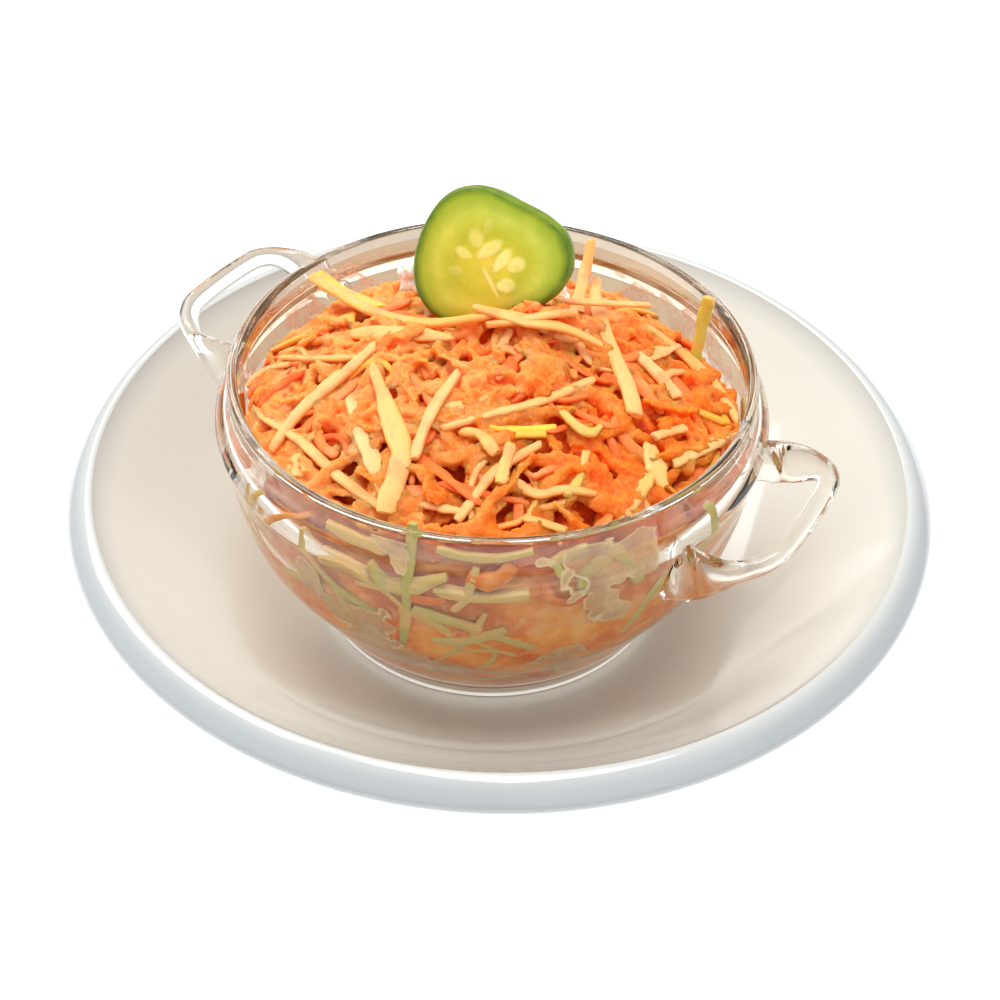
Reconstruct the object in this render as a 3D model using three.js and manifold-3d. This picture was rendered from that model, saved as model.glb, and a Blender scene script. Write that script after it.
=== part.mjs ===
// Coleslaw in a clear glass cup with two handles, with a slice of cucumber stuck in the heap,
// standing in a deep white porcelain saucer.
// Millimetres, +Z up. The origin is the middle of the saucer's foot, and +X runs along the cup's handles.
import * as THREE from "three";
import { mergeVertices } from "three/addons/utils/BufferGeometryUtils.js";
import Module from "manifold-3d";

const wasm = await Module();
wasm.setup();

const GAP = 0.3; // between pieces that touch
const FACETS = 48; // round the cup and what fills it

// The deep saucer. The heights are above the table.
const SAUCER = {
  facets: 56,
  radius: 100,
  rimInner: 93.6, // where the hollow meets the rim
  rimHeight: 41.4,
  floorHeight: 7,
  floorRadius: 50, // the flat middle
  hollowCurve: 1.7, // how late the hollow turns up, as a power
  wall: 4.6,
  rimDrop: 3.8, // the rim slopes down outwards by this
  footOuter: 57,
  footInner: 53,
  footHeight: 2.4,
};

// The glass cup. Radii are from its own axis, and heights are above its base.
const CUP = {
  x: 3,
  y: -6.8,
  height: 64.4,
  wall: 2.3,
  floor: 4.6,
  footRadius: 42,
  footRecess: 1.2,
  rimRadius: 57.4,
  shoulderHeight: 53.4, // the widest place, a ridge on which another cup stands
  shoulderRadius: 60.8,
  collarHeight: 57, // above it the wall is upright
  // the bowl's outside between foot and shoulder, [radius, height]
  bowl: [[46.4, 10.4], [50.8, 18.4], [56.2, 28.4], [58.6, 38.4], [59.5, 46.4]],
};

// The two handles are straps bent to a D. Lengths run outwards from the cup's axis, heights from its rim.
const HANDLE = {
  reach: { right: 75.1, left: 77.5 }, // of the strap's middle
  halfSpan: 20.2, // between the arms, from the middle
  squareness: 4, // power of the D, 2 for half an ellipse
  root: 52.6, // the ends are sunk in the wall
  rootHeight: -18.9,
  bowHeight: -8.8,
  steps: 14,
  sides: 8,
  bow: { width: 5, thickness: 4, tilt: 60 }, // tilt from flat, outer edge down, in degrees
  arm: { width: 13, thickness: 3.2, tilt: 105 },
  bowDepth: 1.7, // the arms begin this far in from the bow's middle
  armLength: 16, // over which the strap turns on edge and grows towards the cup
};

// The heap of shreds. Heights are above the rim of the cup, radii from its axis.
const HEAP = {
  front: -58.7, // the direction in which the heap stands highest against the glass, in degrees
  crown: 6,
  frontEdge: -5,
  backEdge: -20,
  power: 2.2,
  facets: 36,
  rings: 8,
  lumps: 34,
  lumpHeight: 2.6,
  lumpRadius: [6, 10],
  clump: { x: 7.5, y: 3.5, radius: 6.7, height: 7 }, // against the slice, seen from the front
  seed: 11,
};

// Shreds: [from x, y, lift; to x, y, lift; sideways bow; width], seen from the front, x to the right and
// y to the back, and lift above the heap. These are the long pale ones that lie on top.
const LONG_SHREDS = [
  [17, 23, 1, 38, 38, 1, -1, 3.2],
  [22.6, 22.3, 7.5, 29.5, -21, 0, 1, 3.8],
  [21.4, 27.7, 17, 18, 12, -1, 0, 3.2],
  [48, 18.5, 17.5, 46, 13, -2, 0, 3.2],
  [-43, 29, 12, 1, 1, 1, -1, 3.2],
  [-52, 10, 1, -29, 9, 1, 2, 3],
  [-48, 9, 2, -27, -5, 1, -1, 2.6],
  [-24, -1, 1, -44, -28, 1, 3, 3],
  [-51, -5, 1, -23, -43, 1, -2, 2.8],
  [-26, -9, 3, -18, -49, 0, 3, 4.6],
  [-31, -17, 1, -20, -44, 0, -1, 3.8],
  [-8, -14, 2, -16, -35, 0, 1, 2.6],
  [21, -14, 1, -10, -30, 1, -3, 2.8],
  [52, -12, 2, 36, -29, 1, -2, 3],
  [40, 14, 1, 53, -3, 1, 3, 3],
  [-5, 1, 2, 31, 3, 1, 3, 3.2],
  [31, -33, 1, 22, -49, 0, 1, 2.8],
  [0, -38, 1, -9, -51, 1, -1, 2.6],
];

const SHREDS = {
  count: 38,
  tries: 900,
  length: [11, 24],
  width: [2.2, 3.4],
  thickness: 1.3,
  steps: 3,
  longSteps: 5,
  spacing: 7, // between the middles of two shreds
  outer: 51, // no middle of a shred lies further out
};

// The slice of cucumber, seen from the front like the shreds.
const SLICE = {
  x: -0.6,
  y: 12.5,
  z: 15.6, // of its middle, above the rim
  lean: 26, // backwards, in degrees
  turn: 17, // its face looks this far to the left
  radius: 15.9,
  // unevenness: times round, height, place in degrees
  lobes: [[1, 1.6, 137], [2, 1.6, 18], [3, 1, 5], [4, 0.4, 27]],
  thickness: 4.4,
  bevel: 0.6,
  points: 36,
};

const RIM = SAUCER.floorHeight + GAP + CUP.height; // height of the cup's rim above the table
const TURN = THREE.MathUtils.degToRad(HEAP.front + 90);
const UP = new THREE.Vector3(0, 0, 1);

// Repeatable random numbers from 0 to 1.
function randomNumbers(seed) {
  let state = seed;
  return () => {
    state = (state * 1664525 + 1013904223) % 4294967296;
    return state / 4294967296;
  };
}

function between(random, [low, high]) {
  return low + (high - low) * random();
}

// From the front view's x and y to the model's, both from the cup's axis.
function fromFront(x, y) {
  return new THREE.Vector2(x, y).rotateAround(new THREE.Vector2(), TURN);
}

// A closed profile of [radius, height] points turned round the Z axis.
function turned(points, facets) {
  const profile = points.map(([radius, height]) => new THREE.Vector2(radius, height));
  const geometry = new THREE.LatheGeometry(profile, facets);
  geometry.rotateX(Math.PI / 2);
  return geometry;
}

function toSolid(geometry) {
  geometry.deleteAttribute("normal");
  geometry.deleteAttribute("uv");
  const merged = mergeVertices(geometry, 1e-4);
  return new wasm.Manifold(new wasm.Mesh({
    numProp: 3,
    vertProperties: new Float32Array(merged.attributes.position.array),
    triVerts: new Uint32Array(merged.index.array),
  }));
}

function toGeometry(solid) {
  const mesh = solid.getMesh();
  const geometry = new THREE.BufferGeometry();
  geometry.setAttribute("position", new THREE.BufferAttribute(mesh.vertProperties, 3));
  geometry.setIndex(new THREE.BufferAttribute(mesh.triVerts, 1));
  geometry.computeVertexNormals();
  return geometry;
}

// The largest piece of a solid, without what a cut has left loose.
function largest(solid) {
  return solid.decompose().reduce((best, piece) => (piece.volume() > best.volume() ? piece : best));
}

// Bends a straight bar, which lies along Y from -0.5 to 0.5, along a path. place(t) gives the middle there,
// and the bar's X and Z directions with their lengths.
function bent(bar, place) {
  const position = bar.attributes.position;
  for (let i = 0; i < position.count; i++) {
    const { middle, side, normal } = place(position.getY(i) + 0.5);
    const point = middle.clone();
    point.addScaledVector(side, position.getX(i));
    point.addScaledVector(normal, position.getZ(i));
    position.setXYZ(i, point.x, point.y, point.z);
  }
  return bar;
}

// ---- Saucer ----

function saucerProfile() {
  const s = SAUCER;
  const sweep = (steps, startRadius, endRadius, startHeight, endHeight) => {
    return Array.from({ length: steps + 1 }, (_, i) => [
      THREE.MathUtils.lerp(startRadius, endRadius, i / steps),
      THREE.MathUtils.lerp(startHeight, endHeight, (i / steps) ** s.hollowCurve),
    ]);
  };
  const hollow = sweep(7, s.floorRadius, s.rimInner, s.floorHeight, s.rimHeight - 0.5);
  const underside = sweep(5, s.footOuter, s.radius - 1.4, s.footHeight + 1, s.rimHeight - s.rimDrop - 2.2);
  return [
    [0, s.floorHeight - s.wall],
    [s.footInner - 1, s.floorHeight - s.wall],
    [s.footInner, 0],
    [s.footOuter, 0],
    ...underside,
    [s.radius, s.rimHeight - s.rimDrop],
    [s.radius - 0.6, s.rimHeight - s.rimDrop + 1.3],
    [s.rimInner + 1.4, s.rimHeight],
    ...hollow.reverse(),
    [0, s.floorHeight],
  ];
}

function makeSaucer() {
  return turned(saucerProfile(), SAUCER.facets);
}

// ---- Cup ----

function smooth(points, count) {
  const curve = new THREE.SplineCurve(points.map(([radius, height]) => new THREE.Vector2(radius, height)));
  return curve.getPoints(count).map((point) => [point.x, point.y]);
}

// The outside from the foot's edge to the rim.
function cupOutside() {
  const c = CUP;
  const bowl = smooth([[c.footRadius, 3.6], ...c.bowl, [c.shoulderRadius, c.shoulderHeight]], 8);
  return [
    [c.footRadius - 0.6, 0],
    ...bowl,
    [c.shoulderRadius - 0.5, c.shoulderHeight + 2],
    [c.rimRadius + 1, c.collarHeight],
    [c.rimRadius, c.height - 1],
    [c.rimRadius - 0.5, c.height],
  ];
}

// The inside from the floor's middle to the rim.
function cupInside() {
  const c = CUP;
  const inner = c.rimRadius - c.wall;
  const bowl = c.bowl.map(([radius, height]) => [radius - c.wall, height + 0.6]);
  const shoulder = [c.shoulderRadius - c.wall - 0.8, c.shoulderHeight - 1];
  return [
    [0, c.floor],
    [c.footRadius - 6, c.floor],
    ...smooth([[c.footRadius - 3, c.floor + 1.2], ...bowl, shoulder], 6),
    [inner + 1, c.collarHeight - 0.6],
    [inner, c.collarHeight + 1.4],
    [inner, c.height - 1],
    [inner + 0.6, c.height],
  ];
}

// One handle, on the +X side, as a loft along a D in plan.
function makeHandle(reach) {
  const h = HANDLE;
  const points = Array.from({ length: 13 }, (_, i) => {
    const angle = (Math.PI * i) / 12;
    const along = Math.abs(Math.sin(angle)) ** (2 / h.squareness);
    const across = Math.sign(Math.cos(angle)) * Math.abs(Math.cos(angle)) ** (2 / h.squareness);
    return new THREE.Vector3(
      THREE.MathUtils.lerp(h.root, reach, along),
      h.halfSpan * across,
      THREE.MathUtils.lerp(h.rootHeight, h.bowHeight, along),
    );
  });
  const path = new THREE.CatmullRomCurve3(points, false, "centripetal");
  const place = (t) => {
    const middle = path.getPointAt(t);
    const tangent = path.getTangentAt(t);
    const toArm = THREE.MathUtils.clamp((reach - h.bowDepth - middle.x) / h.armLength, 0, 1);
    const blend = (key) => THREE.MathUtils.lerp(h.bow[key], h.arm[key], toArm);
    const outward = new THREE.Vector3().crossVectors(tangent, UP).normalize().negate();
    const up = new THREE.Vector3().crossVectors(tangent, outward).normalize().negate();
    const tilt = -THREE.MathUtils.degToRad(blend("tilt"));
    const side = outward.clone().multiplyScalar(Math.cos(tilt)).addScaledVector(up, Math.sin(tilt));
    const normal = new THREE.Vector3().crossVectors(side, tangent);
    return {
      middle,
      side: side.multiplyScalar(blend("width") / 2),
      normal: normal.multiplyScalar(blend("thickness") / 2),
    };
  };
  const bar = new THREE.CylinderGeometry(1, 1, 1, h.sides, h.steps);
  return bent(bar, place);
}

function makeCup() {
  const profile = [[0, CUP.footRecess], [CUP.footRadius - 5, CUP.footRecess], [CUP.footRadius - 3, 0]];
  const body = toSolid(turned([...profile, ...cupOutside(), ...cupInside().reverse()], FACETS));
  const right = toSolid(makeHandle(HANDLE.reach.right)).translate([0, 0, CUP.height]);
  const left = toSolid(makeHandle(HANDLE.reach.left)).translate([0, 0, CUP.height]).rotate([0, 0, 180]);
  const inside = toSolid(turned([...cupInside(), [0, CUP.height]], FACETS));
  return toGeometry(body.add(right.add(left).subtract(inside)));
}

// ---- Coleslaw ----

const lumps = (() => {
  const random = randomNumbers(HEAP.seed);
  const { x: right, y: back, radius, height } = HEAP.clump;
  const middle = new THREE.Vector2(right, back).rotateAround(new THREE.Vector2(), TURN);
  const uneven = Array.from({ length: HEAP.lumps }, () => {
    const angle = 2 * Math.PI * random();
    const away = CUP.rimRadius * Math.sqrt(random());
    return {
      x: away * Math.cos(angle),
      y: away * Math.sin(angle),
      radius: between(random, HEAP.lumpRadius),
      height: HEAP.lumpHeight * (2 * random() - 1),
    };
  });
  return [...uneven, { x: middle.x, y: middle.y, radius, height }];
})();

// The heap's surface above the rim, at x, y from the cup's axis.
function heapHeight(x, y) {
  const away = Math.hypot(x, y);
  const facing = Math.cos(Math.atan2(y, x) - THREE.MathUtils.degToRad(HEAP.front));
  const edge = (HEAP.frontEdge + HEAP.backEdge) / 2 + (facing * (HEAP.frontEdge - HEAP.backEdge)) / 2;
  const fall = Math.min(away / (CUP.rimRadius - CUP.wall), 1) ** HEAP.power;
  let height = HEAP.crown + (edge - HEAP.crown) * fall;
  for (const lump of lumps) {
    const distance = Math.hypot(x - lump.x, y - lump.y) / lump.radius;
    height += lump.height * Math.exp(-distance * distance);
  }
  return height;
}

// The room for the salad: the cup's inside less the gap, and upright above the rim.
function makeRoom(top) {
  const inside = cupInside().slice(1).map(([radius, height]) => [radius - GAP, height]);
  inside[0] = [inside[0][0], CUP.floor + GAP];
  const mouth = inside.at(-1)[0] - 0.6;
  return turned([[0, CUP.floor + GAP], ...inside.slice(0, -1), [mouth, top], [0, top]], FACETS);
}

// The heap without its shreds, wider than the cup: a flat bottom, and rings over the top.
function makeCore() {
  const outer = CUP.shoulderRadius + 2;
  const top = Array.from({ length: HEAP.rings + 1 }, (_, ring) => {
    return [outer * (1 - ring / HEAP.rings) ** 0.8, CUP.height];
  });
  const profile = [[0, 0], [outer, 0], ...top];
  const geometry = turned(profile, HEAP.facets);
  const position = geometry.attributes.position;
  for (let i = 0; i < position.count; i++) {
    if (i % profile.length >= 2) {
      position.setZ(i, CUP.height + heapHeight(position.getX(i), position.getY(i)));
    }
  }
  return geometry;
}

// A flat shred from one point of the heap to another, half sunk in it.
function makeShred({ from, to, liftFrom, liftTo, bow, width, steps }) {
  const along = new THREE.Vector2().subVectors(to, from);
  const across = new THREE.Vector2(-along.y, along.x).normalize();
  const pointAt = (t) => {
    const bulge = bow * 4 * t * (1 - t);
    const x = from.x + along.x * t + across.x * bulge;
    const y = from.y + along.y * t + across.y * bulge;
    const lift = THREE.MathUtils.lerp(liftFrom, liftTo, t);
    return new THREE.Vector3(x, y, CUP.height + heapHeight(x, y) + lift);
  };
  const place = (t) => {
    const middle = pointAt(t);
    const tangent = pointAt(Math.min(t + 0.05, 1)).sub(pointAt(Math.max(t - 0.05, 0))).normalize();
    const side = new THREE.Vector3().crossVectors(tangent, UP).normalize();
    const normal = new THREE.Vector3().crossVectors(side, tangent);
    const taper = 1 - 0.35 * Math.abs(2 * t - 1) ** 2;
    return {
      middle,
      side: side.multiplyScalar(width * taper),
      normal: normal.multiplyScalar(SHREDS.thickness),
    };
  };
  return bent(new THREE.BoxGeometry(1, 1, 1, 1, steps, 1), place);
}

function longShreds() {
  return LONG_SHREDS.map(([x0, y0, liftFrom, x1, y1, liftTo, bow, width]) => ({
    from: fromFront(x0, y0),
    to: fromFront(x1, y1),
    liftFrom,
    liftTo,
    bow,
    width,
    steps: SHREDS.longSteps,
  }));
}

// Shorter shreds, spread evenly over what the long ones leave.
function shortShreds() {
  const random = randomNumbers(HEAP.seed + 1);
  const middles = [];
  const shreds = [];
  for (let i = 0; i < SHREDS.tries && shreds.length < SHREDS.count; i++) {
    const angle = 2 * Math.PI * random();
    const away = SHREDS.outer * Math.sqrt(random());
    const middle = new THREE.Vector2(away * Math.cos(angle), away * Math.sin(angle));
    const heading = Math.PI * random();
    const half = between(random, SHREDS.length) / 2;
    const bow = 5 * random() - 2.5;
    const width = between(random, SHREDS.width);
    const lifts = [1.6 * random() - 0.2, 1.6 * random() - 0.2];
    if (middles.some((other) => other.distanceTo(middle) < SHREDS.spacing)) {
      continue;
    }
    const reach = new THREE.Vector2(Math.cos(heading), Math.sin(heading)).multiplyScalar(half);
    middles.push(middle);
    shreds.push({
      from: middle.clone().sub(reach),
      to: middle.clone().add(reach),
      liftFrom: lifts[0],
      liftTo: lifts[1],
      bow,
      width,
      steps: SHREDS.steps,
    });
  }
  return shreds;
}

function makeColeslaw(sliceRoom) {
  const room = toSolid(makeRoom(CUP.height + 40));
  const shreds = [...longShreds(), ...shortShreds()].map((shred) => toSolid(makeShred(shred)));
  const heap = wasm.Manifold.union([toSolid(makeCore()), ...shreds]);
  const clear = toSolid(sliceRoom).translate([-CUP.x, -CUP.y, -(RIM - CUP.height)]);
  return toGeometry(largest(heap.intersect(room).subtract(clear)));
}

// ---- Slice of cucumber ----

// The slice's outline, grown all round and in thickness by a margin, in its place over the cup.
function makeSlice(margin) {
  const s = SLICE;
  const outline = Array.from({ length: s.points }, (_, i) => {
    const angle = (2 * Math.PI * i) / s.points;
    const radius = s.lobes.reduce((sum, [times, height, place]) => {
      return sum + height * Math.cos(times * (angle - THREE.MathUtils.degToRad(place)));
    }, s.radius + margin - s.bevel);
    return new THREE.Vector2(radius * Math.cos(angle), radius * Math.sin(angle));
  });
  const depth = s.thickness + 2 * margin;
  const geometry = new THREE.ExtrudeGeometry(new THREE.Shape(outline), {
    depth: depth - 2 * s.bevel,
    bevelThickness: s.bevel,
    bevelSize: s.bevel,
    bevelSegments: 1,
    curveSegments: 1,
  });
  geometry.translate(0, 0, s.bevel - depth / 2);
  const stand = new THREE.Euler(
    Math.PI / 2 - THREE.MathUtils.degToRad(s.lean),
    0,
    TURN - THREE.MathUtils.degToRad(s.turn),
    "ZYX",
  );
  geometry.applyMatrix4(new THREE.Matrix4().makeRotationFromEuler(stand));
  const middle = fromFront(s.x, s.y);
  geometry.translate(CUP.x + middle.x, CUP.y + middle.y, RIM + s.z);
  return geometry;
}

// ---- The whole ----

function piece(name, geometry, look, place = [0, 0, 0]) {
  const mesh = new THREE.Mesh(geometry, new THREE.MeshStandardMaterial(look));
  mesh.name = name;
  mesh.position.set(...place);
  return mesh;
}

const porcelain = { color: 0xf2efe9, roughness: 0.12, metalness: 0 };
const clearGlass = { color: 0xf4f4f0, roughness: 0.02, metalness: 0, transparent: true, opacity: 0.3 };
const dressedShreds = { color: 0xee9450, roughness: 0.45, metalness: 0 };
const cucumber = { color: 0xb4cc4a, roughness: 0.35, metalness: 0 };

const inSaucer = [CUP.x, CUP.y, RIM - CUP.height];
const group = new THREE.Group();
group.add(piece("saucer", makeSaucer(), porcelain));
group.add(piece("cup", makeCup(), clearGlass, inSaucer));
group.add(piece("coleslaw", makeColeslaw(makeSlice(GAP)), dressedShreds, inSaucer));
group.add(piece("cucumber_slice", makeSlice(0), cucumber));

export default group;
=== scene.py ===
import math
import random

import bmesh
import bpy
import numpy as np
from mathutils import Euler, Matrix, Quaternion, Vector, noise


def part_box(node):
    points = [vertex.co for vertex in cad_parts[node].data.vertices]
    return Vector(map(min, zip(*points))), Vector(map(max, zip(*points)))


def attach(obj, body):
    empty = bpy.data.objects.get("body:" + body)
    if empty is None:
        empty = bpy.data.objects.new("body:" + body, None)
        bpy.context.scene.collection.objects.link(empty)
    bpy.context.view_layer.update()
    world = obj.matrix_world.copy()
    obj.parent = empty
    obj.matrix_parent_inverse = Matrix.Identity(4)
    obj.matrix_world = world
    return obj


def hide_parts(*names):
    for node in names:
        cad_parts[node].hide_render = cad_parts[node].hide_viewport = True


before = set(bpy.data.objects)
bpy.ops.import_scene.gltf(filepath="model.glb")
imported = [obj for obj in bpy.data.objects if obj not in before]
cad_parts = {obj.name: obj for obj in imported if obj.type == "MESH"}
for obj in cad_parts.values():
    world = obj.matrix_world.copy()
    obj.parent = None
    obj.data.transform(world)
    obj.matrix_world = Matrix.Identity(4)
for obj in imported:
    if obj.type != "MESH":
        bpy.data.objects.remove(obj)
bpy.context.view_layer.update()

mm = 0.001
cupLow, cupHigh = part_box("cup")
cupMiddle = Vector(((cupLow.x + cupHigh.x) / 2, (cupLow.y + cupHigh.y) / 2, cupLow.z))
rimZ = cupHigh.z
frontTurn = math.radians(31.3)  # the heap's front is turned by this from -Y


def fromFront(x, y, z):
    # from millimetres right, back and up of the middle of the rim, seen from the front
    spot = Vector((x, y, z)) * mm
    spot.rotate(Euler((0, 0, frontTurn)))
    return spot + Vector((cupMiddle.x, cupMiddle.y, rimZ))


def fromCup(spot):
    # millimetres from the cup's axis and the middle of its rim
    return (spot - Vector((cupMiddle.x, cupMiddle.y, rimZ))) / mm


def toCup(x, y, z):
    return Vector((x, y, z)) * mm + Vector((cupMiddle.x, cupMiddle.y, rimZ))


# working helpers
def deselect():
    bpy.ops.object.select_all(action="DESELECT")


def pick(piece):
    deselect()
    piece.select_set(True)
    bpy.context.view_layer.objects.active = piece


def applyAll(piece):
    pick(piece)
    for modifier in list(piece.modifiers):
        bpy.ops.object.modifier_apply(modifier=modifier.name)


def joinAll(name, parts):
    deselect()
    for part in parts:
        part.select_set(True)
    bpy.context.view_layer.objects.active = parts[0]
    bpy.ops.object.join()
    parts[0].name = name
    parts[0].data.name = name
    return parts[0]


def smoothShade(piece, angle):
    pick(piece)
    bpy.ops.object.shade_smooth_by_angle(angle=math.radians(angle))


def faceOutwards(piece):
    pick(piece)
    bpy.ops.object.mode_set(mode="EDIT")
    bpy.ops.mesh.select_all(action="SELECT")
    bpy.ops.mesh.normals_make_consistent(inside=False)
    bpy.ops.object.mode_set(mode="OBJECT")


def selectEdges(piece, wanted):
    # in edit mode: selects the edges whose two ends pass
    bpy.ops.mesh.select_mode(type="EDGE")
    bpy.ops.mesh.select_all(action="DESELECT")
    shape = bmesh.from_edit_mesh(piece.data)
    for edge in shape.edges:
        edge.select_set(wanted(edge.verts[0].co, edge.verts[1].co))
    bmesh.update_edit_mesh(piece.data)


def curvePoint(points, t):
    # a smooth curve through a few points, t from 0 to 1
    spans = len(points) - 1
    place = min(max(t, 0), 0.99999) * spans
    i = int(place)
    f = place - i
    before, start = points[max(i - 1, 0)], points[i]
    end, after = points[i + 1], points[min(i + 2, spans)]
    return 0.5 * (
        2 * start
        + (end - before) * f
        + (2 * before - 5 * start + 4 * end - after) * f * f
        + (3 * start - before - 3 * end + after) * f ** 3
    )


def smoothStretch(points, steps):
    points = [Vector(point) for point in points]
    return [tuple(curvePoint(points, i / steps)) for i in range(steps + 1)]


def arc(middle, radius, start, end, steps):
    # degrees from outwards, towards up
    turns = [math.radians(start + (end - start) * i / steps) for i in range(steps + 1)]
    return [(middle[0] + radius * math.cos(a), middle[1] + radius * math.sin(a)) for a in turns]


def turnOutline(name, outline, sides, middle):
    # a filled ring, extruded and widened from point to point; points are [radius, height] in mm
    deselect()
    bpy.ops.mesh.primitive_circle_add(
        vertices=sides, radius=outline[0][0] * mm, fill_type="NGON",
        location=middle + Vector((0, 0, outline[0][1] * mm)),
    )
    turned = bpy.context.object
    turned.name = name
    turned.data.name = name
    bpy.ops.object.transform_apply(location=True, rotation=False, scale=False)
    bpy.ops.object.mode_set(mode="EDIT")
    bpy.ops.mesh.select_all(action="SELECT")
    for (radius, height), (nextRadius, nextHeight) in zip(outline, outline[1:]):
        rise = (nextHeight - height) * mm
        bpy.ops.mesh.extrude_region_move(TRANSFORM_OT_translate={"value": (0, 0, rise)})
        grow = nextRadius / radius
        bpy.ops.transform.resize(value=(grow, grow, 1), center_override=middle)
    bpy.ops.mesh.select_all(action="SELECT")
    bpy.ops.mesh.normals_make_consistent(inside=False)
    bpy.ops.object.mode_set(mode="OBJECT")
    return turned


# working materials
def newMaterial(name):
    material = bpy.data.materials.new(name)
    material.use_nodes = True
    return material, material.node_tree, material.node_tree.nodes["Principled BSDF"]


def addNode(tree, kind, **values):
    node = tree.nodes.new(kind)
    for name, value in values.items():
        if name in node.inputs:
            node.inputs[name].default_value = value
        else:
            setattr(node, name, value)
    return node


def addNoise(tree, vector, scale, detail=3, roughness=0.55):
    pattern = addNode(tree, "ShaderNodeTexNoise", Scale=scale, Detail=detail, Roughness=roughness)
    tree.links.new(vector, pattern.inputs["Vector"])
    return pattern.outputs["Fac"]


def addRamp(tree, factor, *stops):
    ramp = tree.nodes.new("ShaderNodeValToRGB")
    while len(ramp.color_ramp.elements) < len(stops):
        ramp.color_ramp.elements.new(0.5)
    for element, (place, colour) in zip(ramp.color_ramp.elements, stops):
        element.position = place
        element.color = (*colour, 1)
    tree.links.new(factor, ramp.inputs["Fac"])
    return ramp.outputs["Color"]


def addMix(tree, factor, first, second, how="MIX"):
    mix = addNode(tree, "ShaderNodeMix", data_type="RGBA", blend_type=how)
    for value, socket in ((factor, mix.inputs[0]), (first, mix.inputs[6]), (second, mix.inputs[7])):
        if isinstance(value, bpy.types.NodeSocket):
            tree.links.new(value, socket)
        elif isinstance(value, tuple):
            socket.default_value = (*value, 1)
        else:
            socket.default_value = value
    return mix.outputs[2]


def addBump(tree, shader, height, strength, depth):
    bump = addNode(tree, "ShaderNodeBump", Strength=strength, Distance=depth)
    tree.links.new(height, bump.inputs["Height"])
    tree.links.new(bump.outputs["Normal"], shader.inputs["Normal"])


def addMath(tree, operation, first, second):
    result = addNode(tree, "ShaderNodeMath", operation=operation)
    for value, socket in zip((first, second), result.inputs):
        if isinstance(value, bpy.types.NodeSocket):
            tree.links.new(value, socket)
        else:
            socket.default_value = value
    return result.outputs[0]


def addRange(tree, value, low, high, start=0, end=1):
    # from start to end while the value goes from low to high
    spread = addNode(tree, "ShaderNodeMapRange")
    for name, number in (("From Min", low), ("From Max", high), ("To Min", start), ("To Max", end)):
        spread.inputs[name].default_value = number
    tree.links.new(value, spread.inputs["Value"])
    return spread.outputs["Result"]


def addAlong(tree, vector, direction):
    # how far a place lies along a direction
    dot = addNode(tree, "ShaderNodeVectorMath", operation="DOT_PRODUCT")
    dot.inputs[1].default_value = direction
    tree.links.new(vector, dot.inputs[0])
    return dot.outputs["Value"]


def addLength(tree, vector):
    length = addNode(tree, "ShaderNodeVectorMath", operation="LENGTH")
    tree.links.new(vector, length.inputs[0])
    return length.outputs["Value"]


def addHeight(tree, vector):
    split = addNode(tree, "ShaderNodeSeparateXYZ")
    tree.links.new(vector, split.inputs[0])
    return split.outputs["Z"]


def objectPlace(tree):
    return addNode(tree, "ShaderNodeTexCoord").outputs["Object"]


def readAttribute(tree, name):
    return addNode(tree, "ShaderNodeAttribute", attribute_name=name).outputs["Fac"]


def grey(value):
    return (value, value, value)


def setGlow(shader, weight, radius, scale):
    # light that goes in and comes out nearby
    shader.inputs["Subsurface Weight"].default_value = weight
    shader.inputs["Subsurface Radius"].default_value = radius
    shader.inputs["Subsurface Scale"].default_value = scale


def finishPiece(piece, material, slot, *nodes):
    piece.data.materials.clear()
    piece.data.materials.append(material)
    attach(piece, "root")
    if nodes:
        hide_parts(*nodes)


# the porcelain saucer
saucer = {
    "sides": 200,
    "floorHeight": 7,
    "floorRadius": 50,
    "rimInner": 93.6,
    "rimHeight": 41.4,
    "radius": 100,
    "rimDrop": 3.8,
    "curve": 1.7,
    "wall": 4.6,
    "footOuter": 57,
    "footInner": 53,
    "footHeight": 2.4,
    "hollowEdge": 0.6,  # of the hollow's edge under the rim's top
    "edgeRound": 2.2,  # of the rim's outer edge under its drop
    "steps": 26,  # of the hollow's curve
    "underSteps": 15,
    "glaze": (0.69, 0.69, 0.62),
    "palest": 1.035,  # how much the glaze lightens in clouds
    # painted light: the rim's cool grey-blue stands for the cool light that falls on it
    "rimPaintedCoolLight": (0.42, 0.445, 0.46),
    "roughness": 0.09,
    "ior": 1.52,
}


def porcelainGlaze():
    material, tree, shader = newMaterial("glazedPorcelain")
    spot = objectPlace(tree)
    cloud = addNoise(tree, spot, 14, 2)
    warm = saucer["glaze"]
    paler = tuple(c * saucer["palest"] for c in warm)
    # painted light: the rim turns a cooler, darker grey-blue than the warm hollow, for the cool light that
    # falls on the rim; the hollow's warm glaze is partly painted warm light
    flat = addNode(tree, "ShaderNodeVectorMath", operation="MULTIPLY")
    flat.inputs[1].default_value = (1, 1, 0)
    tree.links.new(spot, flat.inputs[0])
    away = addLength(tree, flat.outputs[0])
    inner = (saucer["rimInner"] - 3) * mm
    outer = (saucer["radius"] - 3) * mm
    paintedRimLight = addRamp(tree, away, (inner, grey(0)), (outer, grey(1)))
    body = addRamp(tree, cloud, (0.35, warm), (0.7, paler))
    tree.links.new(addMix(tree, paintedRimLight, body, saucer["rimPaintedCoolLight"]), shader.inputs["Base Color"])
    addBump(tree, shader, addNoise(tree, spot, 45, 2), 0.05, 0.0006)
    shader.inputs["Roughness"].default_value = saucer["roughness"]
    shader.inputs["IOR"].default_value = saucer["ior"]
    shader.inputs["Coat Weight"].default_value = 0.35
    shader.inputs["Coat Roughness"].default_value = 0.03
    return material


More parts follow.
